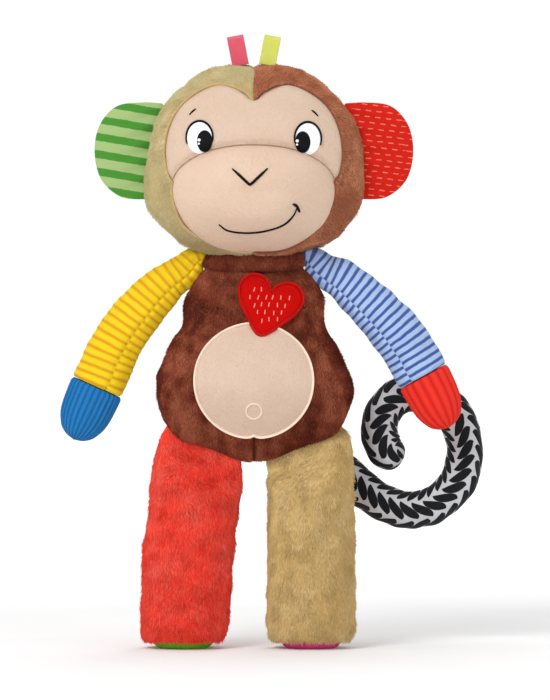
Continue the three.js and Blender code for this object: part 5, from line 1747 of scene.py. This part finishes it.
@dataclass
class Arm:
    """A stuffed arm: a ribbed sleeve from a point at the neck to the cuff, and a mitten hand."""

    name: str
    side: int
    hand: str
    sleeve_cloth: bpy.types.Material
    hand_cloth: bpy.types.Material
    slots: tuple[str, str]
    out: float
    bow: float
    droop: float
    seam: float  # the angle of the lengthwise seam
    rib: float  # how far the sleeve's ribs rise and dip
    rib_pitch: float
    cords: int
    cord_height: float
    length: float = 95.0
    width: float = 31.5
    depth: float = 25.0
    hand_length: float = 35.0
    plane: float = -5.0
    girth: float = ARM_GIRTH

    def spine(self) -> Array:
        """The middle line: out and down from the neck corner, bowed upwards, with the hand hanging lower."""
        down = math.sqrt(self.length**2 - self.out**2)
        along = np.array([self.out, -down]) / self.length
        up = np.array([-along[1], along[0]])
        rises = ((0.11, 0.66), (0.24, 0.96), (0.5, 1.03), (0.75, 0.75), (1.0, 0.0))
        path = [np.array([-3.2, 5.6]), np.array([3.4, 4.6])]
        path += [along * self.length * share + up * lift * self.bow for share, lift in rises]
        path.append(along * (self.length + self.hand_length) - up * self.droop)
        flat = np.asarray(path)
        y = self.plane * smooth(np.hypot(flat[:, 0], flat[:, 1]) / 40)
        low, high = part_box(f"{self.name}_arm_seam")
        start = (low.x + high.x) / 2 / MM - OFFSET[0]
        return curve(np.stack([start + self.side * flat[:, 0], y, SHOULDER_Z + flat[:, 1]], -1), 900)

    def skin(self, low: float, high: float, rows: int) -> tuple[Array, Array, Array]:
        """A stretch of the arm between two shares of its length.

        The arm is as wide as its profile says: pointed at the shoulder, full at the elbow, round at the hand.

        Args:
            low: The share where it starts.
            high: The share where it ends.
            rows: Rings along it.

        Returns:
            The grid of points, the cloth coordinates, and the share of the arm's length of each ring.
        """
        rings = [(0, 0), (0.008, 0.2), (0.05, 0.44), (0.13, 0.64), (0.27, 0.82), (0.44, 0.93), (0.62, 0.99)]
        rings += [(0.76, 1.0), (0.87, 0.95), (0.95, 0.72), (0.985, 0.42), (1, 0)]
        profile = curve(rings, 600)
        share = np.linspace(low, high, rows)
        fullness = np.interp(share, profile[:, 0], profile[:, 1])
        spine = self.spine()
        whole = length_of(spine)
        at = (1.2 / whole + (1 - 1.2 / whole) * share) * (len(spine) - 1)
        path = np.stack([np.interp(at, np.arange(len(spine)), column) for column in spine.T], -1)
        slope = np.gradient(spine, axis=0)
        along = unit(np.stack([np.interp(at, np.arange(len(spine)), column) for column in slope.T], -1))
        aside = unit(np.stack([along[:, 2], 0 * at, -along[:, 0]], -1))
        ahead = np.broadcast_to(np.array([0.0, -1.0, 0.0]), aside.shape)
        points, uv = tube(
            path, aside, ahead, self.width / 2 * fullness, self.depth / 2 * fullness, 96, self.seam, self.girth
        )
        uv[..., 1] = (share * whole)[:, None]
        return points, uv, share

    def build(self) -> None:
        """Makes the sleeve and the hand."""
        whole = length_of(self.spine())
        cuff = 1 - self.hand_length / whole
        points, uv, _ = self.skin(0, cuff - 0.3 / whole, 230)
        centre = points[:, :-1].mean(1, keepdims=True)
        out = unit(points - centre)
        v = uv[..., 1]
        move = self.rib * np.cos(2 * math.pi * v / self.rib_pitch)
        gathers = np.sin(uv[..., 0] * 0.42 + v * 0.05) * smooth((26 - v) / 20)
        crease = ripple(points, 15, 5) * 0.35 + 0.45 * gathers
        to_seam = np.minimum(uv[..., 0], self.girth - uv[..., 0])
        seam_dip, cuff_dip = np.exp(-((to_seam / 1.2) ** 2)), np.exp(-(((v - cuff * whole) / 1.4) ** 2))
        move = move + crease - 0.9 * seam_dip - 1.0 * cuff_dip
        fade = smooth(v / 8)
        points = points + out * (move * fade)[..., None]
        points[0] = points[0].mean(0)
        end = self.closed_end(points[-1], uv[-1], 1)
        points, uv = np.concatenate([points, end[0]]), np.concatenate([uv, end[1]])
        sleeve = surface(f"{self.name}_sleeve", points, uv)
        dress(sleeve, self.sleeve_cloth)
        nodes = (f"{self.name}_arm_sleeve", f"{self.name}_arm_stuffing")
        settle(sleeve, f"{self.name}_arm", nodes)
        points, uv, share = self.skin(cuff + 0.3 / whole, 1, 110)
        out = unit(points - points[:, :-1].mean(1, keepdims=True))
        ridge = np.abs(np.sin(math.pi * uv[..., 0] * self.cords / self.girth))
        fade = smooth((1 - share) / 0.09)[:, None]
        edge_dip = 1.1 * np.exp(-(((uv[..., 1] - cuff * whole) / 1.3) ** 2))
        points[:-1] = (points + out * ((ridge * self.cord_height - edge_dip) * fade)[..., None])[:-1]
        end = self.closed_end(points[0], uv[0], -1)
        points, uv = np.concatenate([end[0][::-1], points]), np.concatenate([end[1][::-1], uv])
        hand = surface(f"{self.hand}_mitten", points, uv)
        dress(hand, self.hand_cloth)
        settle(hand, f"{self.name}_arm", (self.hand,))

    @staticmethod
    def closed_end(ring: Array, uv: Array, way: int) -> tuple[Array, Array]:
        """Rings that close a tube's open end: its last ring drawn in to its middle.

        Args:
            ring: The last ring.
            uv: Its cloth coordinates.
            way: +1 where the cloth coordinates go on along the tube, -1 where they go back.

        Returns:
            The points and cloth coordinates of the rings that follow it.
        """
        shares = np.array([0.93, 0.5, 0.0])[:, None, None]
        middle = ring[:-1].mean(0)
        points = middle + (ring[None] - middle) * shares
        drop = way * np.array([0.4, 3.0, 6.0])[:, None]
        return points, np.stack([uv[None, :, 0] + 0 * drop, uv[None, :, 1] + drop], -1)


@dataclass
class Leg:
    """A straight stuffed leg in long plush with a cotton sole."""

    name: str
    side: int
    backing: bpy.types.Material
    shades: list
    sole: str
    sole_cloth: bpy.types.Material
    sole_slot: str
    foot: float
    knee: float
    hip: float
    seed: int
    width: float = 52.0
    depth: float = 42.0
    girth: float = 150.0  # cloth round the leg
    sole_width: float = 37.0
    sole_depth: float = 30.0
    tufts: int = 49500
    tuft: Tuft = Tuft(length=3.6, width=0.5, lift=0.2, clump=0.3, clump_size=12.0, loose=0.16, patch=0.16)

    def middle(self, share: Array) -> Array:
        """The distance of the leg's middle line from the toy's, by share of its height."""
        line = curve([(self.foot, 0), (self.knee, 0.6), (self.hip, 1)], 200)
        return self.side * np.interp(share, line[:, 1], line[:, 0])

    def skin(self) -> tuple[Array, Array, Array]:
        """The grid of the cover, its outward directions and its cloth coordinates.

        A ring's points are middle + 26 f * cos(a)^0.8 and 21 f * taper * sin(a), and each column rises from the
        hem to the slanting hip seam, where the stuffing thins to a flat edge.
        """
        rings = [(0, 0), (0, 0.5), (0, 0.86), (0.035, 0.97), (0.2, 1), (0.42, 0.985), (0.62, 0.97)]
        rings += [(0.78, 0.965), (0.88, 0.93), (0.95, 0.87), (1, 0.8), (1, 0)]
        flat = np.asarray(rings, float) * (107, 26)
        profile = curve(flat, 190) / (107, 26)
        share = np.clip(profile[:, 0], 0, 1)[:, None]
        full = np.clip(profile[:, 1], 0, 1.0)[:, None]
        full[0] = full[-1] = 0.0
        turn = np.linspace(0, 2 * math.pi, 121)[None, :]
        cos, sin = np.cos(turn), np.sin(turn)
        taper = mix(1, 0.07, smooth((share - 0.72) / 0.28))
        x = self.middle(share) + self.width / 2 * full * np.sign(cos) * np.abs(cos) ** 0.8
        y = -self.depth / 2 * full * taper * sin
        top = CROTCH_Z + HIP_RISE * (np.abs(x) / HIP_X) ** 1.74 + 3.0
        z = mix(5.0, top, share) + 0 * y
        base = np.stack([x, y, z], -1)
        spine = np.stack([self.middle(share) + 0 * z, 0 * z, mix(12, 108, share) + 0 * z], -1)
        normals = grid_normals(base, spine)
        move = ripple(base, 40, self.seed + 40) * 0.5 * smooth((z - 6) / 20) * smooth((top - z) / 12)
        turned = (turn / (2 * math.pi) * self.girth + 0 * z, z)
        return base + normals * move[..., None], normals, np.stack(turned, -1)

    def build(self) -> None:
        """Makes the cover, its pile and the sole."""
        points, normals, uv = self.skin()
        bodies = ("torso", f"{self.name}_leg")
        cover = dress(surface(f"{self.name}_leg_plush", points, uv), self.backing)
        bend(cover, bodies, (f"{self.name}_leg_cover", f"{self.name}_leg_stuffing"))
        nap = swung((0, 0, -1), normals)
        name = f"{self.name}_leg_pile"
        fur = pile(name, points, normals, nap, self.tufts, self.tuft, self.shades, self.seed, self.above_hem)
        bend(fur, bodies)
        self.build_sole()

    @staticmethod
    def above_hem(roots: Array) -> Array:
        """Which tufts stay: those that grow on the leg's sides, clear of the sole."""
        return roots[:, 2] > 5.3

    def build_sole(self) -> None:
        """Makes the sole: a pad pressed flat under the foot, whose edge rounds up into the hem."""
        flat = 0.72  # the share of the pad that lies on the floor
        rim = mix(flat, 1, np.sin(np.linspace(0, math.pi / 2, 16)))[1:]
        reach = np.concatenate([np.linspace(0, flat, 14), rim])
        round_share = np.sqrt(np.maximum(0, 1 - ((reach - flat) / 0.28) ** 2))
        rise = np.where(reach < flat, 0, 6.6 * (1 - round_share))
        reach = np.concatenate([reach, [1.0, 0.96, 0.5, 0.0]])[:, None]
        rise = np.concatenate([rise, [6.8, 7.0, 7.0, 7.0]])[:, None]
        turn = np.linspace(0, 2 * math.pi, 73)[None, :]
        x = self.sole_width / 2 * reach * np.cos(turn)
        y = self.sole_depth / 2 * reach * np.sin(turn)
        points = np.stack([self.side * self.foot + x, y, rise + 0 * x], -1)
        sole = dress(surface(f"{self.sole}_pad", points, np.stack([x, y], -1)), self.sole_cloth)
        settle(sole, f"{self.name}_leg", (self.sole,))


@dataclass
class Tail:
    """A stuffed tube in leaf-print cotton that curls beside the leg."""

    material: bpy.types.Material
    diameter: float = 22.5
    root_share: float = 0.22
    swell: float = 26.0

    def build(self) -> None:
        """Makes the tail: it meets the torso over its seam bar, swells from there and rounds off at its tip."""
        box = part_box("tail_seam")
        root_y = box[0].y / MM - OFFSET[1] - 1.0
        curl = [(40, 0, -17), (56, 0, -30), (74, -1, -45), (92, -3, -52), (108, -4, -49), (122, -5, -37)]
        curl += [(128, -5, -19), (125, -5, -1), (115, -5, 14), (100, -5, 20), (86, -5, 16), (77, -5, 5)]
        curl += [(76, -5, -7), (81, -5, -16), (91, -5, -20)]
        behind = 39.25
        path = [(9, root_y, 133), (11, mix(root_y, behind, 0.55), 132), (22, behind - 1.0, 126)]
        path += [(x, behind + y, 133 + z) for x, y, z in curl]
        spine = curve(path, 400)
        whole = length_of(spine)
        walked = np.linspace(0, whole, 400)
        along = unit(np.gradient(spine, axis=0))
        aside = unit(np.stack([along[:, 2], 0 * walked, -along[:, 0]], -1))
        deep = unit(np.cross(along, aside))
        to_tip = np.minimum(1, (whole - walked) / (self.diameter / 2))
        swelling = mix(self.root_share, 1, smooth(walked / self.swell))
        radius = self.diameter / 2 * np.sqrt(to_tip * (2 - to_tip)) * swelling
        radius[0] = 0.0
        points, uv = tube(spine, aside, deep, radius, radius, 64, 0.0, TAIL_GIRTH)
        out = unit(points - spine[:, None, :] + 1e-9)
        move = (ripple(points, 13, 3) * 0.45) * smooth(radius / 6)[:, None]
        seam = np.minimum(uv[..., 0], TAIL_GIRTH - uv[..., 0])
        move -= 0.6 * np.exp(-((seam / 1.0) ** 2)) * smooth(radius / 6)[:, None]
        tail = dress(surface("tail_leaf_cotton", points + out * move[..., None], uv), self.material)
        nodes = ("tail_cover", "tail_stuffing")
        bend(tail, ("torso", "tail"), nodes)


# ---------------------------------------------------------------- what the frame keeps, and the studio


def dress_inserts(cloths: Cloths) -> None:
    """Gives the pieces that stay as they are in the frame their finishes.

    Args:
        cloths: The finishes.
    """
    finishes = {
        "rattle_shell_front": cloths.white_plastic,
        "rattle_shell_back": cloths.white_plastic,
        "rattle_bead_1": cloths.bead_plastic,
        "rattle_bead_2": cloths.bead_plastic,
        "rattle_bead_3": cloths.bead_plastic,
        "squeaker_cap": cloths.white_plastic,
        "squeaker_base": cloths.white_plastic,
        "squeaker_reed": cloths.bead_plastic,
        "yellow_arm_seam": cloths.yellow,
        "striped_arm_seam": cloths.blue_stripe,
        "tail_seam": cloths.fill,
    }
    for name, material in finishes.items():
        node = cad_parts[name]
        node.data.materials.clear()
        node.data.materials.append(material)
        LOG.info("%s stays, in %s", name, material.name)


@dataclass
class Studio:
    """A plain pale floor, soft lights and the camera."""

    view_height: float = 0.42  # the height of the view at the toy's middle plane
    distance: float = 3.0
    aim: tuple[float, float, float] = (0.0008, 0.0, 0.1791)
    elevation: float = math.radians(1.0)

    def build(self) -> None:
        """Makes the floor, the lights, the sky, which glows most at eye level, and the camera."""
        self.build_floor()
        self.light("key", (-0.9, -1.5, 1.5), 0.9, 24)
        self.light("fill", (1.3, -1.3, 0.7), 1.4, 4)
        self.light("top", (0.0, 0.3, 1.9), 1.6, 9)
        self.light("rim", (0.6, 1.6, 1.1), 1.0, 5)
        sky = bpy.data.worlds.new("studio")
        sky.use_nodes = True
        tree = sky.node_tree
        tree.nodes["Background"].inputs[0].default_value = (1, 1, 1, 1)
        sphere = add_node(tree, "ShaderNodeTexCoord").outputs["Generated"]
        way = add_node(tree, "ShaderNodeSeparateXYZ", {0: sphere})
        height = calc(tree, "ABSOLUTE", way.outputs[2])
        fall = {0: height, 1: 0.12, 2: 0.4, 3: 1.02, 4: 0.5}
        glow = add_node(tree, "ShaderNodeMapRange", fall, clamp=True)
        tree.links.new(glow.outputs[0], tree.nodes["Background"].inputs[1])
        bpy.context.scene.world = sky
        bpy.context.scene.view_settings.view_transform = "Standard"
        self.build_camera()

    @staticmethod
    def build_floor() -> None:
        """Makes a wide matt floor in near-white paper, which glows a little far off as if lit from behind."""
        mesh = bpy.data.meshes.new("studio_floor")
        corners = [(-6, -6, 0), (6, -6, 0), (6, 6, 0), (-6, 6, 0)]
        mesh.from_pydata(corners, [], [(0, 1, 2, 3)])
        floor = new_object("studio_floor", mesh)
        s = Shader("paper_white_uncoated", roughness=0.9, specular=0.1)
        s.colour(blend_colours(s.tree, s.noise(60, 2), "#f4f4f4", "#f8f8f8"))
        away = add_node(s.tree, "ShaderNodeVectorMath", {0: s.place()}, operation="LENGTH").outputs["Value"]
        rise = {0: away, 1: 0.35, 2: 2.0, 3: 0.02, 4: 0.55}
        glow = add_node(s.tree, "ShaderNodeMapRange", rise, clamp=True)
        s.surface.inputs["Emission Color"].default_value = (1, 1, 1, 1)
        s.tree.links.new(glow.outputs[0], s.surface.inputs["Emission Strength"])
        dress(floor, s.material)

    @staticmethod
    def light(name: str, at: tuple[float, float, float], size: float, power: float) -> None:
        """Adds a square soft light that faces the toy.

        Args:
            name: The light's name.
            at: Where it stands, in metres.
            size: The side of the square.
            power: Its watts.
        """
        data = bpy.data.lights.new(name, "AREA")
        data.size = size
        data.energy = power
        lamp = bpy.data.objects.new(name, data)
        lamp.location = at
        lamp.rotation_euler = (Vector((0, 0, 0.18)) - Vector(at)).to_track_quat("-Z", "Y").to_euler()
        bpy.context.scene.collection.objects.link(lamp)

    def build_camera(self) -> None:
        """Adds the camera, straight ahead of the toy and just above its middle, on a long lens."""
        data = bpy.data.cameras.new("camera")
        data.sensor_fit = "VERTICAL"
        data.sensor_height = 24.0
        data.lens = 24.0 * self.distance / self.view_height
        data.clip_end = 50
        camera = bpy.data.objects.new("camera", data)
        aim = Vector(self.aim)
        reach = Vector((0, -math.cos(self.elevation), math.sin(self.elevation))) * self.distance
        camera.location = aim + reach
        camera.rotation_euler = (-reach).to_track_quat("-Z", "Y").to_euler()
        bpy.context.scene.collection.objects.link(camera)
        bpy.context.scene.camera = camera


def main() -> None:
    """Builds the toy, piece by piece, in the studio."""
    logging.basicConfig(level=logging.INFO, format="%(name)s: %(message)s")
    Studio().build()
    cloths = Cloths()
    dress_inserts(cloths)
    Torso(cloths).build()
    build_neck(cloths)
    Head(cloths).build()
    Ear("green", -1, cloths.green_ear, "green_stripe_cotton").build()
    Ear("red", 1, cloths.red_ear, "red_dash_cotton").build()
    RibbonLoop("pink_ribbon", -1, cloths.pink_ribbon).build()
    RibbonLoop("lime_ribbon", 1, cloths.lime_ribbon).build()
    Arm(
        "yellow", -1, "blue_hand", cloths.yellow, cloths.cord_blue, ("yellow_jersey", "blue_corduroy"),
        out=63, bow=10, droop=11, seam=math.radians(114), rib=0.14, rib_pitch=5.0, cords=24, cord_height=0.5,
    ).build()
    Arm(
        "striped", 1, "red_hand", cloths.blue_stripe, cloths.hand_red, ("blue_stripe_jersey", "red_rib"),
        out=70, bow=9, droop=13, seam=math.radians(58), rib=0.04, rib_pitch=4.55, cords=16, cord_height=0.35,
    ).build()
    Leg(
        "red", -1, cloths.red, cloths.red_pile, "green_sole", cloths.green_sole, "green_cotton",
        foot=42.5, knee=37, hip=29.5, seed=101,
    ).build()
    Leg(
        "beige", 1, cloths.tan, cloths.tan_pile, "pink_sole", cloths.pink_sole, "pink_cotton",
        foot=34.3, knee=34.3, hip=29.5, seed=131,
    ).build()
    Tail(cloths.leaves).build()


if __name__ == "__main__":
    main()
